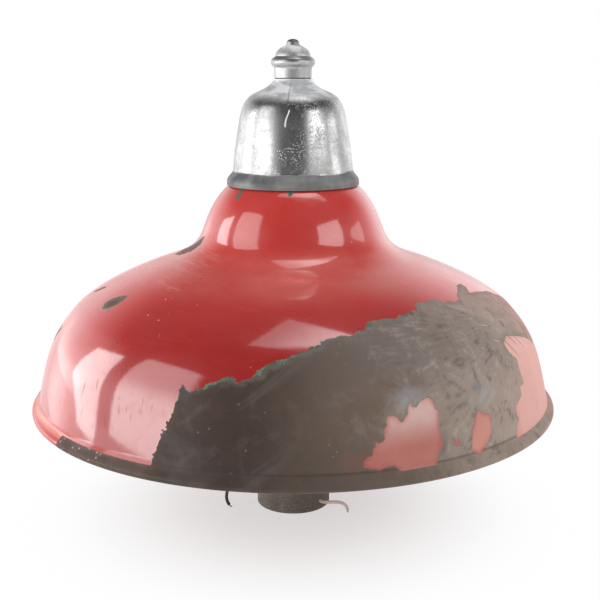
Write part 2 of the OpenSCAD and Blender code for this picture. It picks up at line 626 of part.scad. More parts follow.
module clamp_ring() color([0.58, 0.57, 0.55]) difference() {
    translate([0, 0, shade_top_z]) cylinder(r = neck_top_r - 1, h = clamp_ring_h);
    translate([0, 0, shade_top_z - 1]) cylinder(r = neck_hole_r, h = clamp_ring_h + 2);
    around(clamp_az, clamp_circle_r) translate([0, 0, shade_top_z - 1])
        cylinder(r = small_screw_r + 0.4, h = clamp_ring_h + 2);
}

module clamp_screws() color([0.62, 0.60, 0.56]) around(clamp_az, clamp_circle_r)
    translate([0, 0, shade_top_z + clamp_ring_h]) slotted(screw_head_r + 1, screw_head_h)
    small_screw(small_screw_r, clamp_ring_h + sheet + flange_h, screw_head_r, screw_head_h);

module cap_gasket() color([0.12, 0.12, 0.12]) rotate_extrude($fn = 180)
    polygon(concat(gasket_under, [[gasket_out_r, gasket_top], [gasket_in_r, gasket_top]]));

module cap() color([0.78, 0.78, 0.78]) difference() {
    rotate_extrude($fn = 180) polygon(concat(cap_line,
        [[cap_hole_r, cap_top_z], [cap_hole_r, cap_ceiling], [cap_top_r - cap_wall, cap_ceiling]],
        backwards(cap_inside),
        cap_ledge, [[lip_r, gasket_top], [lip_r, cap_base_z]]));
}

module centre_rod() color([0.5, 0.5, 0.5]) translate([0, 0, chamber_z - chamber_top])
    cylinder(r = rod_r, h = rod_top - chamber_z + chamber_top);

module rod_lock_nut() color([0.55, 0.54, 0.52]) translate([0, 0, chamber_z])
    hex_nut(small_flats, 5.5, rod_r + thread_play);

module coupling_nut() color([0.55, 0.54, 0.52]) translate([0, 0, coupling_top - coupling_h])
    hex_nut(small_flats, coupling_h, rod_r + thread_play);

module finial() color([0.76, 0.76, 0.75]) translate([0, 0, finial_z]) rotate_extrude()
    polygon(concat(
        [[cap_hole_r, 8], [finial_neck_r - cap_wall - 2, 8], [finial_neck_r - cap_wall, 6],
            [finial_neck_r - cap_wall, 0], [finial_neck_r - 0.5, 0], [finial_neck_r, 0.5]],
        bend([finial_neck_r, finial_ring_z - 8], 90, 2, [finial_ring_r - 2.5, finial_ring_z - 4.6], 45, 1, 4),
        arc([finial_ring_r - finial_bead_r, finial_ring_z], finial_bead_r, -50, 60, 8),
        bend([finial_neck_r - 1.4, finial_ring_z + 6.5], 90, 6, [finial_top_r, finial_h], 160, 6, 8),
        [[finial_top_r, finial_h], [cap_hole_r, finial_h]]));

module finial_washer() color([0.25, 0.2, 0.18]) translate([0, 0, cap_top_z]) difference() {
    cylinder(r = finial_neck_r - 0.8, h = fibre_h);
    translate([0, 0, -1]) cylinder(r = cap_hole_r, h = fibre_h + 2);
}

module screw_washer() color([0.5, 0.5, 0.5]) translate([0, 0, finial_top]) difference() {
    cylinder(r = washer_r, h = washer_h);
    translate([0, 0, -1]) cylinder(r = rod_r + 0.08, h = washer_h + 2);
}

module top_screw() color([0.45, 0.45, 0.46]) translate([0, 0, washer_top]) difference() {
    rotate_extrude() polygon(concat([[0, screw_tip - washer_top], [rod_r - 0.5, screw_tip - washer_top],
        [rod_r, screw_tip - washer_top + 0.5], [rod_r, 0], [head_r, 0]],
        bend([head_r, head_h * 0.35], 90, head_h * 0.3, [0, head_h], 180, head_r * 0.6, 8), [[0, head_h]]));
    translate([-head_r, -0.8, head_h - 2.2]) cube([2 * head_r, 1.6, 3]);
}

// Closed thimble over two twisted wire ends
module wire_nut(x) translate([x, 0, nut_z]) rotate_extrude()
    polygon(concat([[0, 0], [nut_r, 0], [nut_r, 4]],
        bend([nut_r - 0.5, 5], 90, nut_h / 3, [0, nut_h], 180, 4, 8), [[0, nut_h]]));
module black_wire_nut() color([0.1, 0.1, 0.1]) wire_nut(-nut_x);
module white_wire_nut() color([0.9, 0.89, 0.85]) wire_nut(nut_x);

module black_loop_wires() color([0.08, 0.08, 0.08]) {
    wire(black_tap_route, loop_r);
    wire(loop_route(black_loop_r, left_az - 3, right_az + 3), loop_r);
    wire(loop_route(black_loop_r, right_az - 3, front_az - 357), loop_r);
}
module white_loop_wires() color([0.9, 0.89, 0.85]) {
    wire(white_tap_route, loop_r);
    wire(loop_route(white_loop_r, right_az + 3.8, left_az - 3.8), loop_r);
    wire(loop_route(white_loop_r, left_az + 3.8, front_az - 3.8), loop_r);
}

module black_riser() color([0.08, 0.08, 0.08]) wire(black_riser_route, lead_r);
module white_riser() color([0.9, 0.89, 0.85]) wire(white_riser_route, lead_r);
module black_lead() color([0.08, 0.08, 0.08]) wire(black_lead_route, lead_r);
module white_lead() color([0.9, 0.89, 0.85]) wire(white_lead_route, lead_r);

post_fitter();
set_screw_back();
set_screw_left();
set_screw_right();
stem_pipe();
stem_lock_nuts();
hub();
lampholder_plate();
plate_screws();
lampholder_front();
lampholder_left();
lampholder_right();
screw_shell_front();
screw_shell_left();
screw_shell_right();
centre_contact_front();
centre_contact_left();
centre_contact_right();
terminal_screws();
lampholder_screws();
shade();
clamp_ring();
clamp_screws();
cap_gasket();
cap();
centre_rod();
rod_lock_nut();
coupling_nut();
finial();
finial_washer();
screw_washer();
top_screw();
black_wire_nut();
white_wire_nut();
black_loop_wires();
white_loop_wires();
black_riser();
white_riser();
black_lead();
white_lead();
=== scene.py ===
# %% [markdown]
# # A post-top service station light
#
# The light is a red enamelled steel shade on a cast collar that clamps on a post. A polished cast cap closes the
# top of its neck, and a screwed-down finial holds the cap. The solids come from the part's own model and never
# move here. This script gives them their real surfaces, and replaces the few that need a smoother or finer mesh.

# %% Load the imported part
import math

import bpy
import numpy as np
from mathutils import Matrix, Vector


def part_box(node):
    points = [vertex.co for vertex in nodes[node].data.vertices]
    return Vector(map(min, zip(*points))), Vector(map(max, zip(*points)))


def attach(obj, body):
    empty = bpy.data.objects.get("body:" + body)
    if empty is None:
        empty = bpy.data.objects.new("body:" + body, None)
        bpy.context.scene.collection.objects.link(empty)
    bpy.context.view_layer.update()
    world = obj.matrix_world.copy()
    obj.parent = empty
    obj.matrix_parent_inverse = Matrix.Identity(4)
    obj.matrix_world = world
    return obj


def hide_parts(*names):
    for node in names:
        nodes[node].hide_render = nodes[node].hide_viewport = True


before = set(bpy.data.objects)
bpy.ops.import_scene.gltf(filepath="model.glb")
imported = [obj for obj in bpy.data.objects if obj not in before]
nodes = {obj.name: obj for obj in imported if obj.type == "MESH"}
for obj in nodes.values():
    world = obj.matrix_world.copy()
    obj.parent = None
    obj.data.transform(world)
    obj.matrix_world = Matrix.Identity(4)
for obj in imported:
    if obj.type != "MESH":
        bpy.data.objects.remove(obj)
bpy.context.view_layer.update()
MM = 0.001

# %% [markdown]
# ## Camera
#
# The photograph looks down on the shade by about twelve degrees from a little over a metre away. A real camera
# at that place gives the same ellipse at the rim, so the picture needs no shift. The lens comes from the width
# that the 610 mm rim fills in the picture.

# %% Camera
bpy.context.scene.view_settings.view_transform = "Standard"
camera = bpy.data.objects.new("camera", bpy.data.cameras.new("camera"))
bpy.context.scene.collection.objects.link(camera)
camera.location = (0.008, -1.1913, 0.5078)
camera.rotation_euler = (math.pi / 2 - 0.212, 0, 0)
SENSOR_WIDTH = 36
PICTURE_WIDTH = 600
FOCAL_LENGTH = 1031  # counted in the picture's points, as its width is
camera.data.sensor_width = SENSOR_WIDTH
camera.data.lens = SENSOR_WIDTH * FOCAL_LENGTH / PICTURE_WIDTH
camera.data.clip_start = 0.02
bpy.context.scene.camera = camera
print("lens:", round(camera.data.lens, 2), "mm")

# %% [markdown]
# ## Supply leads
#
# Two insulated leads come out of holes in the collar's wall and end bare, a few centimetres away, on the table.
# A lead is a round tube along one smooth line, so each is a curve with a round bevel. Its points are those of
# the part's own route: a few chosen places, with a smooth line passed through them that never overshoots where
# the places stand unevenly.


# %% A smooth line through chosen places
def through(places, steps):
    """Points on a smooth line through the places, with this many steps between two of them."""
    p = [np.array(q, float) for q in places]
    p = [2 * p[0] - p[1]] + p + [2 * p[-1] - p[-2]]
    points = []
    for i in range(1, len(p) - 2):
        t = [0.0]
        for k in range(3):
            t.append(t[-1] + math.sqrt(np.linalg.norm(p[i + k] - p[i + k - 1])))
        for k in range(steps):
            s = t[1] + (t[2] - t[1]) * k / steps
            first = [((t[j + 1] - s) * p[i + j - 1] + (s - t[j]) * p[i + j]) / (t[j + 1] - t[j]) for j in range(3)]
            second = [((t[j + 2] - s) * first[j] + (s - t[j]) * first[j + 1]) / (t[j + 2] - t[j]) for j in range(2)]
            points.append(((t[2] - s) * second[0] + (s - t[1]) * second[1]) / (t[2] - t[1]))
    return points + [p[-2]]


def polar(r, azimuth, z):
    """A place at a distance from the axis, with the azimuth counted from +X."""
    a = math.radians(azimuth)
    return (r * math.cos(a), r * math.sin(a), z)


def insulated(name, routes, radius, body="fixture"):
    """Round tubes along routes given in millimetres. The radius is kept at the points of a bevel one metre deep."""
    line = bpy.data.curves.new(name, "CURVE")
    line.dimensions = "3D"
    line.bevel_depth = 1.0
    line.bevel_resolution = 5
    line.resolution_u = 6
    line.use_fill_caps = True
    for route in routes:
        spline = line.splines.new("BEZIER")
        spline.bezier_points.add(len(route) - 1)
        for i, point in enumerate(spline.bezier_points):
            before, after = Vector(route[max(i - 1, 0)]), Vector(route[min(i + 1, len(route) - 1)])
            sixth = (after - before) / (6 if 0 < i < len(route) - 1 else 3) * MM
            point.handle_left_type = point.handle_right_type = "FREE"
            point.radius = radius * MM
            point.co = Vector(route[i]) * MM
            point.handle_left, point.handle_right = point.co - sixth, point.co + sixth
    piece = bpy.data.objects.new(name, line)
    bpy.context.scene.collection.objects.link(piece)
    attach(piece, body)
    return piece


def run_length(route):
    return sum(np.linalg.norm(np.array(b) - np.array(a)) for a, b in zip(route, route[1:])) * MM


# %% The two leads
FOOT_R = 44
LEAD_START_R = 44.06
LEAD_R = 1.9
BLACK_AZ, BLACK_HOLE_Z = 194, 62
WHITE_AZ, WHITE_HOLE_Z = -43.5, 11
black_route = through([
    polar(LEAD_START_R, BLACK_AZ, BLACK_HOLE_Z), polar(52, BLACK_AZ, BLACK_HOLE_Z), (-61, -15.4, 59), (-69, -17.2, 51),
    (-74, -18.2, 40), (-77, -19, 29), (-80, -19.4, 19), (-81, -19.8, 12), (-80, -20.4, 6), (-77.6, -21.4, 2),
], 2)
white_route = through([
    polar(LEAD_START_R, WHITE_AZ, WHITE_HOLE_Z), polar(48, WHITE_AZ, WHITE_HOLE_Z), (40.5, -36.3, 11.8),
    (48, -37.5, 12.5), (55.5, -37.5, 12), (61, -37.2, 9.6), (64.2, -37, 6), (65, -37, 2),
], 2)
black_lead = insulated("black_lead_insulation", [black_route], LEAD_R)
white_lead = insulated("white_lead_insulation", [white_route], LEAD_R)
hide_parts("black_lead")
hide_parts("white_lead")
print("lead lengths:", round(run_length(black_route), 4), round(run_length(white_route), 4),
      "points:", len(black_route), len(white_route))

# %% Bare copper at the ends
COPPER_R = 0.75
black_bare = through([(-78.6, -20.9, 3.6), (-77.4, -21.6, 1.6), (-76.4, -22.4, 1.0), (-74.6, -23.6, 0.8)], 3)
white_bare = through([(65, -37, 3.4), (65.1, -37.2, 1.6), (65.3, -38, 0.9), (65.2, -40, 0.8)], 3)
black_end = insulated("black_lead_copper", [black_bare], COPPER_R)
white_end = insulated("white_lead_copper", [white_bare], COPPER_R)
[v * MM for v in black_route[0]]
[v * MM for v in white_route[0]]

# %% [markdown]
# ## Wiring inside
#
# Inside the stem the same leads rise to two splices under the cap, and thinner wires loop between the three
# lampholders. They show when the cap is lifted and from below, so they get the same round tubes.

# %% Risers in the stem
WAY_R = 39.9
STEM_WAY_R = 5.5
NUT_X, NUT_Z = 39, 416


def riser_in_stem(azimuth, hole_z, side, turn):
    """From the hole in the wall, up the wireway beside the bore and the stem, to the splice at one side."""
    rising = [(FOOT_R, hole_z), (42, hole_z), (WAY_R + 0.6, hole_z + 1), (WAY_R, hole_z + 4), (WAY_R, 80),
              (WAY_R, 103), (WAY_R - 0.4, 106.2), (37.6, 108.6), (34.2, 110.4), (30.5, 112.8), (23, 119),
              (14, 129), (7, 140), (STEM_WAY_R, 150), (STEM_WAY_R, 200), (STEM_WAY_R, 260)]
    up = [polar(r, azimuth, z) for r, z in rising] + [polar(STEM_WAY_R, turn, 320)]
    across = [(STEM_WAY_R, 370), (STEM_WAY_R, 385), (7, 394), (10.5, 400), (16, 403.5), (24, 404.5), (31, 405.5),
              (36, 407.5), (NUT_X, 411.5), (NUT_X, NUT_Z)]
    return up + [(side * x, 0, z) for x, z in across]


black_way = through(riser_in_stem(BLACK_AZ, BLACK_HOLE_Z, -1, 190), 2)
white_way = through(riser_in_stem(WHITE_AZ, WHITE_HOLE_Z, 1, -22), 2)
black_riser = insulated("black_riser_insulation", [black_way], LEAD_R)
white_riser = insulated("white_riser_insulation", [white_way], LEAD_R)
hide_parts("black_riser")
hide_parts("white_riser")

# %% Wires between the lampholders
WIRE_Z = 370.8
WIRE_R = 1.3
BLACK_LOOP_R, WHITE_LOOP_R = 68.5, 55.5


def loop_between(r, start, end):
    """A wire on a circle, lifted in its middle."""
    return [polar(r, start + (end - start) * i / 16, WIRE_Z + 6 * math.sin(math.pi * i / 16)) for i in range(17)]


black_tap = [(-43.5, 0, NUT_Z), (-43.5, 0, 400), (-43.5, 0, 386), (-44.5, 2, 381.5), (-49, 9, 379.5), (-55, 17, 378),
             (-59.5, 24, 375), (-61.2, 29, 372), polar(BLACK_LOOP_R, 153, WIRE_Z)]
white_tap = [(43.5, 0, NUT_Z), (43.5, 0, 400), (43.5, 0, 386), (44.2, 2.5, 379.5), (46.5, 9, 375), (49, 16, 372.6),
             (50.2, 21, 371.4), polar(WHITE_LOOP_R, 26.2, WIRE_Z)]
black_wires = [through(black_tap, 3), loop_between(BLACK_LOOP_R, 147, 33), loop_between(BLACK_LOOP_R, 27, -87)]
white_wires = [through(white_tap, 3), loop_between(WHITE_LOOP_R, 33.8, 146.2),
               loop_between(WHITE_LOOP_R, 153.8, 266.2)]
black_loops = insulated("black_loop_insulation", black_wires, WIRE_R)
white_loops = insulated("white_loop_insulation", white_wires, WIRE_R)
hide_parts("black_loop_wires")
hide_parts("white_loop_wires")

# %% [markdown]
# ## Spun shade
#
# The shade is one disc of steel, spun over a former into a bell neck, a dome and a skirt, with a flared flange
# and a rolled bead for stiffness. Glossy enamel shows every facet, so the shade is turned here from the part's
# own profile as a fine mesh. Curved pieces of the profile are cubic lines between the same named places as in
# the part. The mesh also carries values at its points, which say where the enamel is lost.


# %% Profile of the shade
def toward(angle):
    return np.array([math.cos(math.radians(angle)), math.sin(math.radians(angle))])


def bend(p, a, h, q, b, k, n):
    """Cubic line that leaves p at angle a and arrives at q at angle b. Its last point is left out."""
    p, q = np.array(p, float), np.array(q, float)
    c, d = p + h * toward(a), q - k * toward(b)
    return [(1 - t) ** 3 * p + 3 * (1 - t) ** 2 * t * c + 3 * (1 - t) * t * t * d + t ** 3 * q
            for t in (i / n for i in range(n))]


def arc(c, r, a, b, n):
    return [np.array(c, float) + r * toward(a + (b - a) * i / n) for i in range(n + 1)]


def beside(line, w):
    """The same line moved by w to its right."""
    ways = np.gradient(np.array(line), axis=0)
    ways /= np.linalg.norm(ways, axis=1)[:, None]
    return [p + w * np.array([d[1], -d[0]]) for p, d in zip(line, ways)]


SHADE_TOP = 393
SHEET = 1.6
RIM_R = 305
BEAD_R = 4
BEAD_C = (RIM_R - BEAD_R, 138)
SKIRT_END = (RIM_R - 2.1 * BEAD_R, 150)
FLARE_END = np.array(BEAD_C) + BEAD_R * toward(45)


def shade_profile(n):
    wall = (bend([60, SHADE_TOP], 0, 12, [99, SHADE_TOP - 41], -67, 29, n)
            + bend([99, SHADE_TOP - 41], -67, 24, [149, SHADE_TOP - 90.5], -18, 44, n)
            + bend([149, SHADE_TOP - 90.5], -18, 33, [255, SHADE_TOP - 146], -48, 32, n + n // 3)
            + bend([255, SHADE_TOP - 146], -48, 37, SKIRT_END, -78, 54, n + n // 3))
    rim = bend(SKIRT_END, -78, BEAD_R, FLARE_END, -45, BEAD_R, max(5, n // 4))
    return [np.array([50.0, SHADE_TOP])] + [np.array([55.0, SHADE_TOP])] + wall + rim + arc(BEAD_C, BEAD_R, 45, -210, n)


PROFILE_STEPS = 28
shade_outside = np.array(shade_profile(PROFILE_STEPS))
shade_inside = np.array(beside(shade_profile(18), SHEET))[::-1]
print("profile points:", len(shade_outside), "outside,", len(shade_inside), "inside")


# %% Turning a profile into a mesh
def turned(name, profile, around, body, faces_two_from=None):
    """A solid of revolution from a closed profile in millimetres. Faces after a place in the profile get slot 1."""
    m = len(profile)
    angle = np.arange(around) * 2 * math.pi / around
    r, z = profile[:, 0], profile[:, 1]
    points = np.stack([np.outer(np.cos(angle), r), np.outer(np.sin(angle), r), np.tile(z, (around, 1))], 2)
    i, j = np.meshgrid(np.arange(around), np.arange(m), indexing="ij")
    corner = i * m + j
    faces = np.stack([corner, i * m + (j + 1) % m, ((i + 1) % around) * m + (j + 1) % m,
                      ((i + 1) % around) * m + j], 2).reshape(-1, 4)
    mesh = bpy.data.meshes.new(name)
    mesh.from_pydata((points.reshape(-1, 3) * MM).tolist(), [], faces.tolist())
    mesh.polygons.foreach_set("use_smooth", [True] * len(faces))
    if faces_two_from is not None:
        mesh.polygons.foreach_set("material_index", (np.tile(np.arange(m), around) >= faces_two_from).astype(int))
    mesh.set_sharp_from_angle(angle=math.radians(40))
    mesh.update()
    piece = bpy.data.objects.new(name, mesh)
    bpy.context.scene.collection.objects.link(piece)
    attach(piece, body)
    print(name, "faces:", len(faces))
    return piece


SHADE_AROUND = 600
shade = turned("spun_shade", np.vstack([shade_outside, shade_inside]), SHADE_AROUND, "fixture",
               faces_two_from=len(shade_outside) - 6)
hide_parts("shade")

# %% [markdown]
# ## Where the enamel is gone
#
# A blow or a long scrape has flaked the enamel from the front right of the skirt, up to the turn of the dome.
# Islands of it are left, and small chips sit elsewhere. Noise alone can't place such a scar, so its outline is
# drawn as a maker would mark it on the shade: an azimuth from the front, in degrees to the right, and a height
# in millimetres. Each point of the mesh then gets its distance in metres from that edge, above zero where the
# iron is bare. The material adds the fine jagged line.

# %% Outlines of the scar, its islands and the chips
scar = [(-27, 138), (-26.5, 154), (-25.8, 170), (-25.2, 180), (-24.2, 187), (-22.8, 199), (-22.2, 207), (-22.6, 215),
        (-22.4, 223), (-20.6, 220), (-17, 225), (-14.2, 228.5), (-11.7, 234), (-10.3, 230), (-8.4, 233), (-6.3, 239),
        (-3.3, 247), (0, 250), (1.9, 254), (6.2, 258.5), (9.9, 263.5), (15.5, 266.5), (20.6, 272), (28.6, 274.5),
        (36.9, 277.2), (38.7, 280.9), (45.7, 281), (48, 282.3), (48.6, 278.2), (55.6, 277), (60.4, 280.6),
        (67.7, 284.4), (71.3, 283.6), (70.6, 280.6), (66.8, 277.2), (71, 275.8), (75.6, 273), (80, 270), (84, 264),
        (93, 251), (104, 236), (99, 221), (90, 212), (82, 214), (77, 215.5), (71.5, 227.5), (65.8, 235),
        (60, 240.5), (57, 236), (56.5, 229), (58.8, 219.5), (58.1, 211), (58.2, 202), (58.6, 193.5), (56.3, 192.4),
        (55.5, 185.7), (54.3, 178.8), (52.5, 177.4), (52.3, 170.2), (53, 163.4), (51.6, 160.5), (51.4, 153),
        (50, 146), (49.5, 138)]
islands = [
    [(23.2, 207), (24, 204), (25.4, 208), (27, 210), (28.1, 208.8), (28.8, 202), (29.3, 196), (29, 183), (29.4, 173),
     (28.7, 157), (27.7, 146), (26.4, 140), (19.8, 140), (19.9, 149), (19, 152), (17.3, 152.6), (16.2, 150),
     (13.4, 154), (13.1, 157), (14.3, 165), (15.2, 173), (17.4, 180), (17.8, 186), (18.6, 197), (19.9, 197),
     (21, 193), (22.3, 197.5)],
    [(31.6, 165), (32.4, 167), (33.2, 165), (34, 164), (33.5, 160), (32.1, 161.5)],
    [(39.6, 190.5), (40.6, 184), (42.8, 181), (43.2, 169.5), (42.1, 157.5), (40.6, 153.5), (39.3, 149.4), (37.8, 144),
     (37.6, 149.8), (36.4, 151), (36.2, 159.7), (37.2, 170), (38.5, 181.5)],
]
chips = [
    [(-61.8, 265.1), (-64.3, 269.1), (-64.2, 273.5), (-62.2, 277), (-58.8, 279.4), (-57.5, 276), (-57.5, 271.6),
     (-58.8, 266.7)],
    [(-69.5, 334), (-74, 330), (-82, 322), (-92, 314), (-98, 310), (-90, 306), (-80, 309), (-73, 316), (-69, 325)],
    [(-86, 266), (-83, 273), (-79.5, 274.5), (-81, 270), (-84, 265)],
    [(-84, 213), (-80, 233), (-77.6, 231), (-79.6, 214)],
    [(-50.9, 388), (-46.2, 388), (-45.7, 381.8), (-44, 376.8), (-47.6, 376.4), (-49.7, 381.4)],
    [(-5.5, 391), (1.5, 391), (0.6, 386), (-0.8, 383), (-3, 382.4), (-4.4, 386)],
    [(-53, 392), (-32, 392), (-33, 387.6), (-40, 388.6), (-52, 386)],
    [(-90, 142), (-90, 147), (-87, 147.5), (-85, 145), (-86, 142)],
    [(132, 205), (139, 216), (147, 211), (150, 200), (143, 192), (135, 195)],
    [(-148, 262), (-143, 268), (-138, 266), (-140, 259)],
    [(158, 352), (168, 360), (171, 349), (163, 342)],
    [(-166, 146), (-165, 160), (-156, 171), (-147, 160), (-143, 146), (-143, 138), (-166, 138)],
]

# %% Distance from those outlines
# The last steps of the profile go round the rolled bead. Above them each height comes once.
bead_start = len(shade_outside) - PROFILE_STEPS
height_row = shade_outside[:bead_start, 1]
run = np.concatenate([[0], np.cumsum(np.linalg.norm(np.diff(shade_outside, axis=0), axis=1))])
run_back = run[-1] + SHEET + np.concatenate([[0], np.cumsum(np.linalg.norm(np.diff(shade_inside, axis=0), axis=1))])
run_all = np.concatenate([run, run_back])
radius_all = np.concatenate([shade_outside[:, 0], shade_inside[:, 0]])
azimuth_all = (np.degrees(np.arange(SHADE_AROUND) * 2 * math.pi / SHADE_AROUND) + 90 + 180) % 360 - 180


def run_at(height):
    """Length along the profile, from the neck, at which the shade's outside has this height."""
    return np.interp(-np.array(height, float), -height_row, run[:bead_start])


def inside_by(outline):
    """Distance in metres inside an outline, below zero outside it, for every point of the mesh."""
    corners = np.array([(a, run_at(z)) for a, z in outline])
    per_degree = math.pi / 180 * radius_all[None, :]
    x = azimuth_all[:, None] * per_degree
    y = np.broadcast_to(run_all[None, :], x.shape)
    near = np.full(x.shape, 1e9)
    inside = np.zeros(x.shape, bool)
    for (a0, y0), (a1, y1) in zip(corners, np.roll(corners, -1, 0)):
        x0, x1 = a0 * per_degree, a1 * per_degree
        dx, dy = x1 - x0, y1 - y0
        t = np.clip(((x - x0) * dx + (y - y0) * dy) / (dx * dx + dy * dy + 1e-9), 0, 1)
        near = np.minimum(near, np.hypot(x - x0 - t * dx, y - y0 - t * dy))
        if y0 != y1:
            crossing = ((y0 <= y) != (y1 <= y)) & (x < x0 + (y - y0) * dx / dy)
            inside ^= crossing
    return np.where(inside, near, -near) * MM


def rim_between(start, end):
    """Bare flange and bead between two azimuths."""
    middle, half = (start + end) / 2, (end - start) / 2
    along = (half - abs((azimuth_all[:, None] - middle + 180) % 360 - 180)) * math.pi / 180 * radius_all[None, :]
    down = np.minimum(run_all - run_at(147.5), run[-1] + 12 - run_all)[None, :]
    return np.minimum(along, np.broadcast_to(down, along.shape)) * MM


FAR = 0.03
kept = np.max([inside_by(outline) for outline in islands], axis=0)
gone = np.minimum(inside_by(scar), -kept)
scar_gone = gone
gone = np.max([gone, rim_between(-53, 118), rim_between(150, 176), rim_between(196, 230), rim_between(-96, -88)]
              + [inside_by(outline) for outline in chips], axis=0)
gone = np.where(run_all[None, :] > run[-1] + 14, -FAR, gone)
faded = np.clip((kept + 0.004) / 0.008, 0, 1)
east = np.clip((azimuth_all[:, None] - 46) / 8, 0, 1) * np.clip((150 - azimuth_all[:, None]) / 50, 0, 1)
faded = np.maximum(faded, east * np.clip((run_all[None, :] - run_at(244)) / 12, 0, 1))
print("bare share of the outside:", round(float((gone[:, :len(shade_outside)] > 0).mean()), 3))

# %% Lines that fan out from the middle of the scar
fan_azimuth, fan_height = 63, 252
across = (azimuth_all[:, None] - fan_azimuth) * math.pi / 180 * radius_all[None, :]
down = np.broadcast_to((run_all - run_at(fan_height))[None, :], across.shape)
fan = np.stack([np.degrees(np.arctan2(across, down + 6)) / 40, np.hypot(across, down) / 520, np.zeros(across.shape)], 2)


def at_points(piece, name, values, kind="FLOAT"):
    """Stores one value, or one vector, for each point of a mesh."""
    layer = piece.data.attributes.new(name, kind, "POINT")
    layer.data.foreach_set("vector" if kind == "FLOAT_VECTOR" else "value", np.asarray(values, np.float32).ravel())


at_points(shade, "enamel_gone", np.clip(gone, -FAR, FAR))
at_points(shade, "edge_jag", np.where(gone > scar_gone + 1e-6, 0.16, np.where(azimuth_all[:, None] > 57, 0.25, 1)))
at_points(shade, "enamel_faded", faded)
at_points(shade, "scar_fan", fan, "FLOAT_VECTOR")

# %% [markdown]
# ## Cap and finial
#
# Both are aluminium castings that have been polished on the outside. Polished metal mirrors its surroundings,
# so they are turned as fine meshes too, from the part's own profiles. The cap keeps its thin wall and its
# closed top with the screw's hole, since it lifts off and shows its inside.

# %% Profile of the cap
CAP_BASE_Z = 388.33
CAP_TOP = CAP_BASE_Z + 118.7
CEILING = CAP_TOP - 8
cap_outside = ([np.array([76, CAP_BASE_Z])]
               + bend([76, CAP_BASE_Z + 4], 90, 5.5, [69, CAP_BASE_Z + 16.5], 95, 4, 16)
               + bend([69, CAP_BASE_Z + 16.5], 95, 16, [62, CAP_TOP - 51], 99, 16, 26)
               + bend([62, CAP_TOP - 51], 99, 14, [42, CAP_TOP - 15], 158, 16, 26)
               + bend([42, CAP_TOP - 15], 158, 8, [22.5, CAP_TOP], 92, 7, 20)
               + [np.array([22.5, CAP_TOP]), np.array([12, CAP_TOP]), np.array([3.6, CAP_TOP])])
cap_inside = (bend([65, CAP_BASE_Z + 16.5], 95, 16, [58, CAP_TOP - 51], 99, 16, 12)
              + bend([58, CAP_TOP - 51], 99, 11, [38, CEILING - 8], 145, 12, 12)
              + bend([38, CEILING - 8], 145, 10, [18.5, CEILING], 180, 8, 8))
gasket_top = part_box("cap_gasket")[1].z / MM
cap_profile = np.array(cap_outside + [(3.6, CEILING), (18.5, CEILING)] + cap_inside[::-1]
                       + [(65, gasket_top), (73.5, gasket_top), (73.5, CAP_BASE_Z)])
cap = turned("polished_cap", cap_profile[::-1], 360, "cap")
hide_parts("cap")

# %% Profile of the finial
FINIAL_Z = CAP_TOP + 0.8
finial_outside = ([np.array([20.7, 0]), np.array([21.2, 0.5])]
                  + bend([21.2, 9.5], 90, 2, [22.5, 12.9], 45, 1, 8)
                  + arc([19.5, 17.5], 5.5, -50, 60, 26)
                  + bend([19.8, 24], 90, 6, [8, 36], 160, 6, 24)
                  + [np.array([8, 36]), np.array([3.6, 36])])
finial_inside = [(3.6, 8), (15.2, 8), (17.2, 6), (17.2, 0)]
finial_profile = np.array([tuple(p) for p in finial_outside] + finial_inside) + np.array([0, FINIAL_Z])
finial = turned("polished_finial", finial_profile[::-1], 240, "finial")
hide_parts("finial")

# %% [markdown]
# ## Node trees as arithmetic
#
# Most of a material is sums and products of numbers: a height, an azimuth, some noise. So a number that comes
# out of a node is wrapped here as a Value. Arithmetic with Values makes the Math nodes, and `band` turns a Value
# into a mask with a soft edge. A colour is then painted in layers, each a mask and what it shows there.


# %% Making nodes
def feed(tree, socket, value):
    """Joins a node's output to a socket, or sets the socket to a plain value."""
    value = getattr(value, "socket", value)
    if isinstance(value, bpy.types.NodeSocket):
        tree.links.new(value, socket)
    else:
        socket.default_value = value


def node(tree, kind, inputs=None, **settings):
    """A shader node with its settings and its inputs."""
    made = tree.nodes.new("ShaderNode" + kind)
    for name, value in settings.items():
        setattr(made, name, value)
    for key, value in (inputs or {}).items():
        feed(tree, made.inputs[key], value)
    return made


# %% Numbers in a node tree
class Value:
    """A number that a node puts out. Arithmetic with it makes Math nodes in the same tree."""

    def __init__(self, tree, socket):
        self.tree, self.socket = tree, socket

    def maths(self, operation, a, b=0.0):
        return Value(self.tree, node(self.tree, "Math", {0: a, 1: b}, operation=operation).outputs[0])

    def __add__(self, other):
        return self.maths("ADD", self, other)

    def __sub__(self, other):
        return self.maths("SUBTRACT", self, other)

    def __rsub__(self, other):
        return self.maths("SUBTRACT", other, self)

    def __mul__(self, other):
        return self.maths("MULTIPLY", self, other)

    def __truediv__(self, other):
        return self.maths("DIVIDE", self, other)

    def __rtruediv__(self, other):
        return self.maths("DIVIDE", other, self)

    def __abs__(self):
        return self.maths("ABSOLUTE", self)

    def most(self, other):
        return self.maths("MAXIMUM", self, other)

    def band(self, low, high, to_low=0.0, to_high=1.0, kind="SMOOTHSTEP"):
        """A step from to_low to to_high while the value goes from low to high."""
        step = node(self.tree, "MapRange", {"Value": self, "From Min": low, "From Max": high, "To Min": to_low,
                                            "To Max": to_high}, interpolation_type=kind)
        return Value(self.tree, step.outputs[0])


# %% Colours, places and noise
def blended(share, a, b):
    """Goes from colour a to colour b as the share goes from 0 to 1."""
    a, b = [(*c, 1) if isinstance(c, tuple) else c for c in (a, b)]
    return node(share.tree, "Mix", {0: share, 6: a, 7: b}, data_type="RGBA").outputs[2]


def painted(base, *layers):
    """Lays colours over a base one after the other. A layer is a mask and a colour."""
    for mask, colour in layers:
        base = blended(mask, base, colour)
    return base


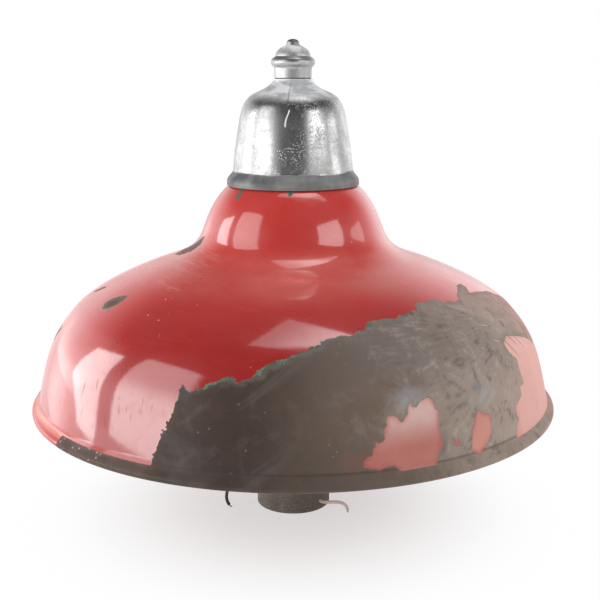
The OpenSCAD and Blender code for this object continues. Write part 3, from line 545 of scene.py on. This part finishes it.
def mixed(share, a, b):
    return Value(share.tree, node(share.tree, "Mix", {0: share, 2: a, 3: b}, data_type="FLOAT").outputs[0])


def place(tree):
    return node(tree, "TexCoord").outputs["Object"]


def around(tree, coordinates="Object"):
    """x, y and height of a place, and its azimuth from the front in degrees to the right."""
    where = node(tree, "TexCoord").outputs[coordinates]
    x, y, z = [Value(tree, socket) for socket in node(tree, "SeparateXYZ", {0: where}).outputs]
    return x, y, z, x.maths("ARCTAN2", x, y * -1.0) * (180 / math.pi)


def flat_place(x, y):
    return node(x.tree, "CombineXYZ", {0: x, 1: y}).outputs[0]


def length_of(x, y):
    return Value(x.tree, node(x.tree, "VectorMath", {0: flat_place(x, y)}, operation="LENGTH").outputs["Value"])


def noise(tree, where, scale, detail=3.0, rough=0.55, bent=0.0):
    return Value(tree, node(tree, "TexNoise", {"Vector": where, "Scale": scale, "Detail": detail,
                                               "Roughness": rough, "Distortion": bent}).outputs[0])


# %% [markdown]
# ## Effects that the materials share
#
# Old metal and enamel have the same few things on them: clouds of dirt, small pits, an uneven skin, wiping
# marks, and a ripple in whatever was poured or fired. Each is a shader node group with its own sliders. A group
# gives a mask or a height in millimetres, and each material decides what to do with it.


# %% Making a group
def group(name, sliders, outputs):
    """A node group of numbers. Gives its tree, the values of its sliders and its end node."""
    tree = bpy.data.node_groups.new(name, "ShaderNodeTree")
    for label, value in sliders.items():
        tree.interface.new_socket(label, in_out="INPUT", socket_type="NodeSocketFloat").default_value = value
    for label in outputs:
        tree.interface.new_socket(label, in_out="OUTPUT", socket_type="NodeSocketFloat")
    given = tree.nodes.new("NodeGroupInput")
    return tree, [Value(tree, given.outputs[label]) for label in sliders], tree.nodes.new("NodeGroupOutput")


# %% Group: clouds of dirt
tree, (size, amount), result = group("Dirt clouds", {"Size": 0.05, "Amount": 0.5}, ["Mask"])
edge = 0.78 - amount * 0.5
clouds = noise(tree, place(tree), 1.0 / size, 6, 0.62, 0.6).band(edge - 0.16, edge + 0.16, kind="LINEAR")
feed(tree, result.inputs["Mask"], clouds)

# %% Group: small pits
tree, (size, depth, share), result = group("Small pits", {"Size": 0.002, "Depth": 0.05, "Share": 0.5},
                                           ["Height", "Mask"])
cells = node(tree, "TexVoronoi", {"Vector": place(tree), "Scale": 1.0 / size, "Randomness": 1.0})
chosen = node(tree, "SeparateColor", {0: cells.outputs["Color"]}).outputs[0]
chosen = share.maths("LESS_THAN", chosen, share)
hollow = Value(tree, cells.outputs["Distance"]).band(0.12, 0.42, 1, 0) * chosen
feed(tree, result.inputs["Height"], hollow * (depth * -1.0))
feed(tree, result.inputs["Mask"], hollow)

# %% Group: uneven cast skin
tree, (size, depth), result = group("Cast skin", {"Size": 0.003, "Depth": 0.1}, ["Height"])
coarse = noise(tree, place(tree), 1.0 / size, 5, 0.6)
swell = noise(tree, place(tree), 1.0 / size / 6.0, 2, 0.5)
feed(tree, result.inputs["Height"], (coarse + swell * 1.6) * depth)

# %% Group: wiping marks round the axis
tree, (width, amount), result = group("Wiping marks", {"Width": 0.003, "Amount": 0.5}, ["Mask"])
_, _, height, turn = around(tree)
wound = turn * (math.pi / 60)
edge = 0.8 - amount * 0.4
marks = noise(tree, flat_place(wound, height / width + wound), 1.0, 4, 0.6, 0.3).band(edge, edge + 0.25, kind="LINEAR")
feed(tree, result.inputs["Mask"], marks)

# %% Group: ripple of a fired or glazed coat
tree, (size, depth), result = group("Fired ripple", {"Size": 0.008, "Depth": 0.02}, ["Height"])
feed(tree, result.inputs["Height"], noise(tree, place(tree), 1.0 / size, 2, 0.4) * depth)
print("groups:", sorted(g.name for g in bpy.data.node_groups))


# %% Placing a group and starting a material
def effect(tree, name, **sliders):
    made = tree.nodes.new("ShaderNodeGroup")
    made.node_tree = bpy.data.node_groups[name]
    for label, value in sliders.items():
        made.inputs[label].default_value = value
    return {socket.name: Value(tree, socket) for socket in made.outputs}


def finish_of(name, **settings):
    """A material with its Principled shader, whose plain settings are given here."""
    material = bpy.data.materials.new(name)
    material.use_nodes = True
    tree = material.node_tree
    tree.nodes.clear()
    shader = node(tree, "BsdfPrincipled", {label.replace("_", " "): value for label, value in settings.items()})
    node(tree, "OutputMaterial", {0: shader.outputs[0]})
    return material, tree, shader


def relief(tree, shader, height, normals=("Normal",)):
    """Joins a height in millimetres to the shader's normal."""
    bump = node(tree, "Bump", {"Height": height, "Strength": 1.0, "Distance": 0.001})
    for label in normals:
        feed(tree, shader.inputs[label], bump.outputs[0])


def join(tree, shader, **sockets):
    for label, value in sockets.items():
        feed(tree, shader.inputs[label.replace("_", " ")], value)


# %% [markdown]
# ## Red enamel with its scar
#
# Vitreous enamel is coloured glass fired on iron, over a thin dark ground coat. Where it has flaked off, the
# bare iron has gone brown and grey, and a greenish line of ground coat shows along the break. One material does
# all of it: the distance stored in the mesh, moved a little by noise, says which of the three is on top, and
# the same value gives the step of a third of a millimetre at the break.

# %% The broken edge
enamel, tree, shader = finish_of("red_enamel_outside", IOR=1.4, Coat_IOR=2.0, Coat_Roughness=0.08,
                                 Sheen_Weight=0.52, Sheen_Roughness=0.3, Sheen_Tint=(1.0, 0.30, 0.26, 1))
here = place(tree)
_, _, height_here, turn_here = around(tree)


def stored(name, output="Fac"):
    """What the mesh carries at its points under a name."""
    return Value(tree, node(tree, "Attribute", attribute_name=name).outputs[output])


def bites(scale, depth):
    """Small round bites out of an edge, as deep as this in metres."""
    cells = node(tree, "TexVoronoi", {"Vector": here, "Scale": scale, "Randomness": 1.0})
    return (Value(tree, cells.outputs["Distance"]) - 0.5) * depth


def mottled(scale, detail, rough, *step):
    """Noise on the shade, made into a mask by a step."""
    return noise(tree, here, scale, detail, rough).band(*step)


def spot(azimuth, z, wide, tall):
    """A soft round mask on the shade, at an azimuth in degrees and a height in metres."""
    return length_of((turn_here - azimuth) / wide, (height_here - z) / tall).band(0.3, 1.3, 1, 0)


faded_here = stored("enamel_faded")
jagged = (bites(85, 0.008) + bites(320, 0.0034)) * height_here.band(0.149, 0.158, 0.12, 1) * stored("edge_jag")
broken = stored("enamel_gone") + jagged
bare = broken.band(0, 0.0003)
ground_width = mottled(38, 4, 0.6, 0.44, 0.66) * 0.0019
ground = ((abs(broken - 0.0004) - ground_width).band(0, 0.0003, 1, 0)
          * height_here.band(0.198, 0.214, 0.25, 1) * turn_here.band(48, 56, 1, 0.25))
ground_colour = blended(mottled(30, 2, 0.55, 0.38, 0.50), (0.075, 0.080, 0.068), (0.105, 0.175, 0.130))

# %% Colours of the enamel
dusty = (height_here.band(0.280, 0.304) * height_here.band(0.310, 0.335, 1, 0)
         * mottled(14, 5, 0.65, 0.3, 0.75, 0.10, 0.36))
scuffed = (effect(tree, "Wiping marks", Width=0.0024, Amount=0.75)["Mask"] * mottled(10, 3, 0.55, 0.42, 0.60)
           * turn_here.band(-80, -50) * turn_here.band(-20, -36)
           * height_here.band(0.280, 0.300) * height_here.band(0.318, 0.330, 1, 0))
red = painted(
    blended(noise(tree, here, 9, 4, 0.6), (0.28, 0.007, 0.006), (0.37, 0.015, 0.013)),
    # Higher on the shade the red is painted lighter: painted light for the stronger light from above.
    (height_here.band(0.258, 0.318), (0.49, 0.032, 0.026)),
    # Away from the front the red is painted brighter: painted light for the glow along the shade's sides.
    (abs(turn_here).band(36, 58, 0, 0.6), (0.56, 0.022, 0.020)),
    (effect(tree, "Wiping marks", Width=0.004, Amount=0.62)["Mask"] * 0.16, (0.50, 0.085, 0.072)),
    (dusty, (0.58, 0.20, 0.165)),
    (scuffed * 0.55, (0.62, 0.36, 0.29)))
chalk_top = blended(noise(tree, here, 60, 4, 0.6), (0.48, 0.26, 0.24), (0.60, 0.40, 0.37))
chalk = painted(
    blended(noise(tree, here, 40, 4, 0.6), (0.36, 0.092, 0.070), (0.43, 0.165, 0.130)),
    (height_here.band(0.165, 0.200), chalk_top),
    (turn_here.band(33, 37), (0.50, 0.20, 0.155)),
    (turn_here.band(45, 50), (0.60, 0.295, 0.245)))

# %% Marks in the enamel
pale = (effect(tree, "Small pits", Size=0.0032, Depth=0.0, Share=0.03)["Mask"]
        * (spot(-40, 0.280, 15, 0.026) + mottled(16, 2, 0.55, 0.66, 0.72)))
flange = height_here.band(0.1505, 0.1490) * height_here.band(0.1425, 0.1440) * turn_here.band(-50, -54)
claws = flat_place(turn_here * 0.55 + height_here * 90, turn_here * 0.10)
clawed = noise(tree, claws, 1.0, 2, 0.5, 0.8).band(0.54, 0.58) * spot(62, 0.232, 9, 0.015)
crazing = flat_place(turn_here * 1.15, height_here * 48)
crazed = noise(tree, crazing, 1.0, 3, 0.55, 0.4).band(0.615, 0.66) * spot(-43, 0.195, 19, 0.044)
red = painted(
    red,
    (faded_here, chalk),
    (pale * 0.75, (0.72, 0.42, 0.36)),
    (flange * 0.7, (0.62, 0.15, 0.09)),
    (clawed * 0.75, (0.16, 0.10, 0.08)),
    (crazed * 0.6, (0.16, 0.020, 0.018)))

# %% Colours of the bare iron
east_side = turn_here.band(-14, 52)
upper = height_here.band(0.192, 0.250) * turn_here.band(-5, 25) * turn_here.band(46, 66, 1, 0.35)
clouds = noise(tree, here, 42, 6, 0.7, 0.8)
streaks = noise(tree, stored("scar_fan", "Vector"), 24, 4, 0.55) * 0.32 + clouds * 0.68
drawn = turn_here.band(4, 40, 0.10, 1)
unrolled = turn_here * 0.0046
slant = flat_place((unrolled * 0.80 + height_here * 0.60) * 7.0, (height_here * 0.80 - unrolled * 0.60) * 60.0)
slanting = noise(tree, slant, 1.0, 3, 0.5, 0.2).band(0.54, 0.70) * turn_here.band(34, 16)
iron = painted(
    blended(east_side, (0.030, 0.017, 0.0135), (0.36, 0.285, 0.235)),
    (upper * 0.9, blended(east_side, (0.030, 0.023, 0.022), (0.205, 0.168, 0.152))),
    # A pale grey mottle at the left of the bare iron is a painted sheen.
    (turn_here.band(-14, -27) * mottled(24, 4, 0.55, 0.38, 0.62) * 0.7, (0.105, 0.100, 0.097)),
    (streaks.band(0.50, 0.64) * drawn * 0.45, (0.46, 0.39, 0.335)),
    (streaks.band(0.49, 0.37) * drawn * 0.65, (0.085, 0.068, 0.055)),
    (slanting * 0.40, (0.105, 0.094, 0.090)),
    (effect(tree, "Dirt clouds", Size=0.07, Amount=0.62)["Mask"] * 0.26, (0.11, 0.062, 0.040)))

# %% Stains and marks on the iron
brown = (spot(13, 0.196, 14, 0.030).most(spot(22, 0.222, 7, 0.014))
         * noise(tree, here, 34, 5, 0.65, 0.6).band(0.42, 0.60))
smears = spot(23.5, 0.212, 4.5, 0.011).most(spot(41, 0.203, 5.5, 0.013)) * mottled(70, 4, 0.6, 0.34, 0.56)
lines = flat_place(turn_here * 0.10, height_here * 210 + turn_here * 0.32)
scratches = noise(tree, lines, 1.0, 3, 0.55, 0.3).band(0.62, 0.67) * spot(57, 0.248, 13, 0.014)
stained = spot(13.5, 0.158, 5.5, 0.013) * mottled(60, 4, 0.6, 0.36, 0.54)
foot = height_here.band(0.200, 0.160) * turn_here.band(-8, 6) * turn_here.band(34, 22)
greenish = (broken + clouds * 0.012).band(0.0150, 0.0085) * height_here.band(0.215, 0.235)
flecks = effect(tree, "Small pits", Size=0.0035, Depth=0.0, Share=0.022)["Mask"]
warm_rim = height_here.band(0.1510, 0.1490) * turn_here.band(-22, -30) * mottled(80, 4, 0.6, 0.30, 0.60, 0.4, 1)
chipped = effect(tree, "Small pits", Size=0.0042, Depth=0.0, Share=0.35)["Mask"] * spot(-46, 0.143, 9, 0.009)
# A thin dark line along the crease above the flange is painted shade.
crease_shade = height_here.band(0.1478, 0.1492) * height_here.band(0.1500, 0.1512, 1, 0)
iron = painted(
    iron,
    (brown * 0.6, (0.115, 0.068, 0.045)),
    (smears * 0.5, (0.24, 0.245, 0.265)),
    (scratches * 0.55, (0.62, 0.58, 0.53)),
    (stained * 0.55, (0.24, 0.095, 0.070)),
    (foot * 0.45, (0.075, 0.048, 0.036)),
    (greenish * 0.5, (0.125, 0.130, 0.105)),
    (flecks * 0.22, (0.42, 0.37, 0.32)),
    (warm_rim * 0.7, (0.115, 0.062, 0.050)),
    (chipped, (0.72, 0.60, 0.55)),
    # Painted shade in the crease, and the flange and bead below it made a little darker.
    (crease_shade * 0.5, (0.035, 0.027, 0.022)),
    (height_here.band(0.1496, 0.1484, 0, 0.30), (0.060, 0.042, 0.032)))

# %% The enamel's surface
colour = painted(red, (bare, iron), (ground * 0.8, ground_colour))
gloss = mottled(28, 4, 0.6, 0.3, 0.75, 0.26, 0.40) + faded_here * 0.15
dull = mottled(55, 5, 0.65, 0.3, 0.7, 0.42, 0.66)
peel = effect(tree, "Fired ripple", Size=0.012, Depth=0.05)["Height"]
grain = effect(tree, "Cast skin", Size=0.0022, Depth=0.045)["Height"] * bare
relief(tree, shader, bare * -0.30 + (peel + grain), ("Normal", "Coat Normal"))
whole = (broken.band(-0.0002, 0.0001, 1, 0) * faded_here.band(0, 1, 1, 0.25)
         * mottled(85, 4, 0.6, 0.25, 0.60, 0.88, 1) * crazed.band(0, 1, 1, 0.45)
         * height_here.band(0.1505, 0.1535, 0.40, 1))
join(tree, shader, Base_Color=colour, Roughness=mixed(bare, gloss, dull), Coat_Weight=whole)

# %% [markdown]
# ## White enamel, porcelain and the other finishes
#
# The inside of the shade and the plate are white enamel, which throws the light down. The lampholders are glazed
# porcelain. The other pieces are castings, plated screws, brass, rubber and plastic, so two more makers follow:
# one for a coated or moulded surface, and one for a metal that has aged.


# %% Coated and moulded surfaces
def coated(name, colour, dirt, rough, dirt_share, ripple, size=0.04):
    material, tree, shader = finish_of(name, IOR=1.5)
    dirty = effect(tree, "Dirt clouds", Size=size, Amount=dirt_share)["Mask"]
    fine = noise(tree, place(tree), 260, 4, 0.6)
    join(tree, shader, Base_Color=painted(colour, (dirty * 0.8, dirt), (fine.band(0.55, 0.75) * 0.25, dirt)),
         Roughness=fine.band(0.2, 0.8, rough, rough + 0.12) + dirty * 0.15)
    relief(tree, shader, effect(tree, "Fired ripple", Size=size / 5, Depth=ripple)["Height"])
    return material


white_enamel = coated("white_enamel", (0.80, 0.78, 0.71), (0.50, 0.42, 0.30), 0.10, 0.42, 0.05)
porcelain = coated("glazed_porcelain", (0.82, 0.80, 0.74), (0.55, 0.48, 0.38), 0.12, 0.30, 0.03, size=0.02)
gasket_rubber = coated("gasket_rubber", (0.030, 0.029, 0.028), (0.10, 0.09, 0.08), 0.62, 0.4, 0.05, size=0.01)
fibre = coated("vulcanised_fibre", (0.035, 0.022, 0.018), (0.09, 0.07, 0.06), 0.55, 0.4, 0.05, size=0.01)
black_moulding = coated("black_moulding", (0.025, 0.025, 0.026), (0.10, 0.095, 0.09), 0.34, 0.35, 0.04, size=0.01)
white_moulding = coated("white_moulding", (0.78, 0.76, 0.70), (0.50, 0.45, 0.36), 0.36, 0.35, 0.04, size=0.01)
black_insulation = coated("black_insulation", (0.022, 0.022, 0.022), (0.11, 0.10, 0.09), 0.42, 0.42, 0.05, size=0.008)
white_insulation = coated("white_insulation", (0.93, 0.91, 0.86), (0.74, 0.68, 0.58), 0.45, 0.42, 0.05, size=0.008)


# %% Aged metals
def aged_metal(name, colour, tarnish, rough, tarnish_share, skin=(0.002, 0.03), metallic=1.0, size=0.02):
    material, tree, shader = finish_of(name, Metallic=metallic)
    cloud = effect(tree, "Dirt clouds", Size=size, Amount=tarnish_share)["Mask"]
    fine = noise(tree, place(tree), 3.2 / size, 5, 0.65)
    metal = painted(colour, (fine.band(0.35, 0.7), tuple(0.72 * c for c in colour)), (cloud, tarnish))
    join(tree, shader, Base_Color=metal, Roughness=fine.band(0.25, 0.75, rough, rough + 0.14) + cloud * 0.18)
    relief(tree, shader, effect(tree, "Cast skin", Size=skin[0], Depth=skin[1])["Height"])
    return material


pipe_steel = aged_metal("galvanised_pipe", (0.42, 0.42, 0.41), (0.24, 0.20, 0.16), 0.42, 0.45, size=0.03)
zinc_steel = aged_metal("zinc_plate", (0.52, 0.51, 0.47), (0.25, 0.20, 0.15), 0.30, 0.4, (0.001, 0.01), size=0.01)
dark_steel = aged_metal("dark_steel", (0.20, 0.18, 0.165), (0.12, 0.065, 0.04), 0.48, 0.5, (0.0012, 0.05), 0.7, 0.012)
hub_casting = aged_metal("hub_casting", (0.46, 0.46, 0.45), (0.26, 0.25, 0.23), 0.42, 0.4, (0.0022, 0.10), size=0.03)
brass = aged_metal("tarnished_brass", (0.62, 0.45, 0.18), (0.26, 0.18, 0.08), 0.30, 0.45, (0.001, 0.01), size=0.01)
screw_steel = aged_metal("screw_steel", (0.36, 0.37, 0.39), (0.17, 0.165, 0.16), 0.30, 0.45, (0.001, 0.02), size=0.008)
copper = aged_metal("bare_copper", (0.58, 0.30, 0.17), (0.20, 0.11, 0.07), 0.35, 0.5, (0.0006, 0.02), size=0.004)

# %% [markdown]
# ## Cast iron of the post fitter
#
# The collar is a sand casting that stood on a post for decades. It is grey-brown and dull, with a coarse skin,
# dark stains and paler bruises.

# %% Weathered cast iron
cast_iron, tree, shader = finish_of("weathered_cast_iron", IOR=1.5)
scale_marks = noise(tree, place(tree), 420, 4, 0.65)
stain = effect(tree, "Dirt clouds", Size=0.035, Amount=0.5)["Mask"]
bruise = effect(tree, "Small pits", Size=0.009, Depth=0.0, Share=0.12)["Mask"]
iron = painted(
    (0.15, 0.14, 0.115),
    (scale_marks.band(0.35, 0.7), (0.29, 0.275, 0.235)),
    (stain * 0.6, (0.10, 0.085, 0.065)),
    (bruise * 0.45, (0.42, 0.41, 0.37)))
pits = effect(tree, "Small pits", Size=0.0028, Depth=0.25, Share=0.35)["Height"]
skin = effect(tree, "Cast skin", Size=0.0035, Depth=0.30)["Height"]
relief(tree, shader, pits + skin)
join(tree, shader, Base_Color=iron, Roughness=scale_marks.band(0.3, 0.7, 0.62, 0.82))

# %% [markdown]
# ## Polished castings
#
# The cap was polished over a rough casting, so small pits are left in a bright skin, and grey tarnish lies in
# its hollows. Its flared foot was never polished, and its shoulder has gone dull and cloudy again. The height on
# the part tells the three apart, with wavy lines between them. A thin seam runs down the front of the shoulder,
# with a bent bright scratch below it.


# %% Polished aluminium
def polished_casting(name, dull_below, dull_above, pitted, soft):
    material, tree, shader = finish_of(name, Metallic=1.0)
    here = place(tree)
    _, _, z, turn = around(tree)
    wave = (noise(tree, here, 22, 3) - 0.5) * 0.007
    raw = (z + wave).band(dull_below * MM, dull_below * MM + 0.0016, 1, 0)
    shoulder = (z + wave).band(dull_above * MM, dull_above * MM + 0.014)
    tarnish = effect(tree, "Dirt clouds", Size=0.03, Amount=0.62)["Mask"]
    fine = noise(tree, here, 130, 5, 0.65)
    drawn = node(tree, "VectorMath", {0: here, 1: (30, 30, 110)}, operation="MULTIPLY").outputs[0]
    clouded = blended(noise(tree, drawn, 1.0, 4, 0.6, 1.2).band(0.40, 0.62), (0.86, 0.86, 0.88), (0.46, 0.47, 0.50))
    bow = z.band(0.4545, 0.4750)
    scratch = (abs(turn - (bow * bow * 4.0 - 7.5)).band(0.5, 1.1, 1, 0)
               * z.band(0.4545, 0.4570) * z.band(0.4735, 0.4750, 1, 0))
    seam = abs(turn + 5.0 + wave * 500).band(0.4, 1.6, 1, 0) * z.band(0.476, 0.484) * z.band(0.503, 0.507, 1, 0)
    bright = painted(
        (0.72, 0.715, 0.71),
        (fine.band(0.3, 0.75), (0.52, 0.515, 0.51)),
        (tarnish * 0.6, (0.28, 0.285, 0.295)),
        (shoulder * 0.8, clouded),
        (seam * 0.6, (0.20, 0.20, 0.215)),
        (scratch * 0.9, (0.90, 0.90, 0.90)))
    foot = painted(
        (0.25, 0.255, 0.245),
        (noise(tree, here, 34, 5, 0.6).band(0.35, 0.68), (0.105, 0.110, 0.118)),
        ((z + wave).band(0.3925, 0.3895, 0, 0.5), (0.20, 0.165, 0.145)))
    oxide = (shoulder * 0.55).most(tarnish * 0.08).most(scratch * 0.8)
    mirror = fine.band(0.25, 0.75, soft, soft + 0.11) + tarnish * 0.10 + shoulder * 0.30
    pits = effect(tree, "Small pits", Size=0.0019, Depth=pitted, Share=0.8)["Height"]
    swell = effect(tree, "Cast skin", Size=0.008, Depth=0.4 * pitted)["Height"]
    relief(tree, shader, pits * noise(tree, here, 26, 2).band(0.34, 0.54) + swell)
    join(tree, shader, Base_Color=blended(raw, bright, foot), Roughness=mixed(raw, mirror, 0.52),
         Metallic=mixed(raw, 1.0 - oxide, 0.45))
    return material


cap_metal = polished_casting("polished_cap_metal", 403.5, CAP_TOP - 28, 0.25, 0.13)
finial_metal = polished_casting("polished_finial_metal", 0.0, FINIAL_Z + 22, 0.03, 0.27)
print("materials:", len(bpy.data.materials))

# %% [markdown]
# ## Giving every piece its finish
#
# A CAD node's shape stays as it is, and only its material slots are filled. The new meshes get theirs in the
# same way, with a second slot for the white inside of the shade.


# %% Finishes on the pieces
def dress(piece, *materials):
    piece.data.materials.clear()
    for material in materials:
        piece.data.materials.append(material)


dress(shade, enamel, white_enamel)
dress(cap, cap_metal)
dress(finial, finial_metal)
for piece in (black_lead, black_riser, black_loops):
    dress(piece, black_insulation)
for piece in (white_lead, white_riser, white_loops):
    dress(piece, white_insulation)
dress(black_end, copper)
dress(white_end, copper)

finishes = {
    "post_fitter": cast_iron, "stem_pipe": pipe_steel, "hub": hub_casting, "lampholder_plate": white_enamel,
    "terminal_screws": brass, "cap_gasket": gasket_rubber, "finial_washer": fibre, "screw_washer": screw_steel,
    "top_screw": screw_steel, "black_wire_nut": black_moulding, "white_wire_nut": white_moulding,
}
for name in ("stem_lock_nuts", "plate_screws", "lampholder_screws", "clamp_ring", "clamp_screws", "centre_rod",
             "rod_lock_nut", "coupling_nut"):
    finishes[name] = zinc_steel
for name in ("set_screw_back", "set_screw_left", "set_screw_right"):
    finishes[name] = dark_steel
for side in ("front", "left", "right"):
    finishes["lampholder_" + side] = porcelain
    finishes["screw_shell_" + side] = brass
    finishes["centre_contact_" + side] = brass
for name, material in finishes.items():
    dress(nodes[name], material)
print("dressed nodes:", len(finishes), "not dressed:", sorted(n for n, o in nodes.items()
                                                             if n not in finishes and not o.hide_render))

# %% [markdown]
# ## Floor, light and surroundings
#
# The picture was taken on a white sweep between soft lamps: three at the left, two at the right and one
# overhead. The glossy enamel mirrors each as a white shape, so their light is faded along lines, as a cloth hung
# before a lamp does. The floor under the light is a matt white that keeps its soft shadow, and it turns into
# plain white further out. The polished cap needs pale surroundings with a dark gap at the front, so the world
# shows that to glossy rays, with a glow at each side for the edges of the shade, and plain white to the camera.

# %% Floor
floor_mesh = bpy.data.meshes.new("floor")
floor_mesh.from_pydata([(-8, -8, 0), (8, -8, 0), (8, 8, 0), (-8, 8, 0)], [], [(0, 1, 2, 3)])
floor = bpy.data.objects.new("floor", floor_mesh)
bpy.context.scene.collection.objects.link(floor)
sweep = bpy.data.materials.new("white_sweep")
sweep.use_nodes = True
tree = sweep.node_tree
tree.nodes.clear()
x, y, _, _ = around(tree)
matt = node(tree, "BsdfDiffuse", {"Color": (0.825, 0.85, 0.84, 1)})
plain = node(tree, "Emission", {"Color": (1, 1, 1, 1), "Strength": 1.0})
path = node(tree, "LightPath")
seen = Value(tree, path.outputs["Is Camera Ray"]).most(path.outputs["Is Glossy Ray"])
far_off = length_of(x, y).band(0.06, 0.32, 0.57, 0.985) * seen
surface = node(tree, "MixShader", {0: far_off, 1: matt.outputs[0], 2: plain.outputs[0]})
node(tree, "OutputMaterial", {0: surface.outputs[0]})
dress(floor, sweep)


# %% Soft lamps
def softbox(name, azimuth, distance, low, high, width, radiance):
    """An upright soft lamp at an azimuth in degrees to the right of the front, turned to the axis."""
    a = math.radians(azimuth)
    lamp = bpy.data.lights.new(name, "AREA")
    lamp.shape = "RECTANGLE"
    lamp.size, lamp.size_y = width, high - low
    lamp.energy = 4 * width * (high - low) * radiance
    made = bpy.data.objects.new(name, lamp)
    bpy.context.scene.collection.objects.link(made)
    made.location = (distance * math.sin(a), -distance * math.cos(a), (low + high) / 2)
    inward = Vector((-made.location.x, -made.location.y, 0))
    made.rotation_euler = inward.to_track_quat("-Z", "Y").to_euler()
    return made


def shaped(lamp_object, *edges):
    """Fades a lamp's light along lines. An edge is a direction, a start, an end and the share left: the light
    falls from 1 to that share as the place along the direction goes from start to end, in metres."""
    lamp = lamp_object.data
    lamp.use_nodes = True
    tree = lamp.node_tree
    tree.nodes.clear()
    where = node(tree, "NewGeometry").outputs["Position"]
    share = 1.0
    for direction, start, end, least in edges:
        line = node(tree, "VectorMath", {0: where, 1: direction}, operation="DOT_PRODUCT").outputs["Value"]
        share = Value(tree, line).band(start, end, 1, least) * share
    node(tree, "OutputLight", {0: node(tree, "Emission", {"Strength": share}).outputs[0]})


def slope(azimuth, across, up):
    """A direction in the plane of a lamp that stands at an azimuth in degrees."""
    turned = math.radians(azimuth)
    return (across * math.cos(turned), across * math.sin(turned), up)


# %% Lamps in their places
LEFT_FRONT, LEFT_SIDE, LEFT_LOW = -61, -95.5, -111
lamp = softbox("left_front_softbox", LEFT_FRONT, 1.5, 0.13, 1.75, 1.20, 2.15)
shaped(lamp, (slope(LEFT_FRONT, 0, 1), 0.50, 1.05, 0.55), (slope(LEFT_FRONT, -1, -0.2), 0.34, 0.37, 0),
       (slope(LEFT_FRONT, -0.3, 1), 1.70, 1.76, 0), (slope(LEFT_FRONT, 1, 0.15), 0.50, 0.66, 0))
lamp = softbox("left_side_softbox", LEFT_SIDE, 1.5, 0.05, 1.20, 0.66, 2.45)
shaped(lamp, (slope(LEFT_SIDE, -0.69, 1), 1.09, 1.13, 0), (slope(LEFT_SIDE, 1, 0.233), 0.34, 0.37, 0),
       (slope(LEFT_SIDE, -1, -1.2), -0.10, -0.04, 0))
lamp = softbox("left_low_softbox", LEFT_LOW, 1.0, 0.0, 0.52, 0.74, 0.8)
shaped(lamp, (slope(LEFT_LOW, 1, 0), 0.0, 0.36, 0), (slope(LEFT_LOW, -1, 0), 0.0, 0.36, 0),
       (slope(LEFT_LOW, 0, 1), 0.10, 0.51, 0))
softbox("right_front_softbox", 51, 1.5, 0.70, 1.42, 0.92, 1.35)
softbox("right_side_softbox", 90, 1.5, 0.35, 0.96, 0.55, 0.75)
lamp = softbox("overhead_softbox", 0, 0.0, 1.6, 2.2, 1.0, 1.75)
lamp.location = (0.25, -0.15, 1.6)
lamp.rotation_euler = (0, 0, math.radians(-30))
shaped(lamp, ((-0.866, 0.5, 0), -0.25, 0.18, 0.35), ((0.866, -0.5, 0), 0.30, 0.60, 0.4),
       ((0, -1, 0), 0.16, 0.32, 0.12))

# %% Surroundings
world = bpy.data.worlds.new("studio")
bpy.context.scene.world = world
world.use_nodes = True
tree = world.node_tree
tree.nodes.clear()
x, _, up, turn = around(tree, "Generated")
behind = abs(turn).band(95, 125, 0, 0.30) * abs(turn).band(150, 172, 1, 0.3)
left_glow = turn.band(-158, -138, 0, 0.95) * turn.band(-118, -100, 1, 0) * up.band(0.03, 0.18, 1, 0.2)
right_glow = turn.band(115, 138, 0, 0.42) * turn.band(160, 172, 1, 0.2) * up.band(0.52, 0.80, 1, 0)
walls = abs(turn).band(20, 38, 0.10, 0.62) + behind + left_glow
mirrored = walls * up.band(0.14, 0.66, 1, 0.07) + right_glow
sky = up.band(0.0, 0.9, 0.42, 1.05) * x.band(-0.6, 0.9, 0.92, 1.40)
path = {socket.name: Value(tree, socket) for socket in node(tree, "LightPath").outputs}
seen = path["Is Camera Ray"].most(path["Is Transmission Ray"])
level = mixed(seen, mixed(path["Is Glossy Ray"], sky, mirrored), 1.0)
light = node(tree, "Background", {"Color": (1, 1, 1, 1), "Strength": level})
node(tree, "OutputWorld", {0: light.outputs[0]})
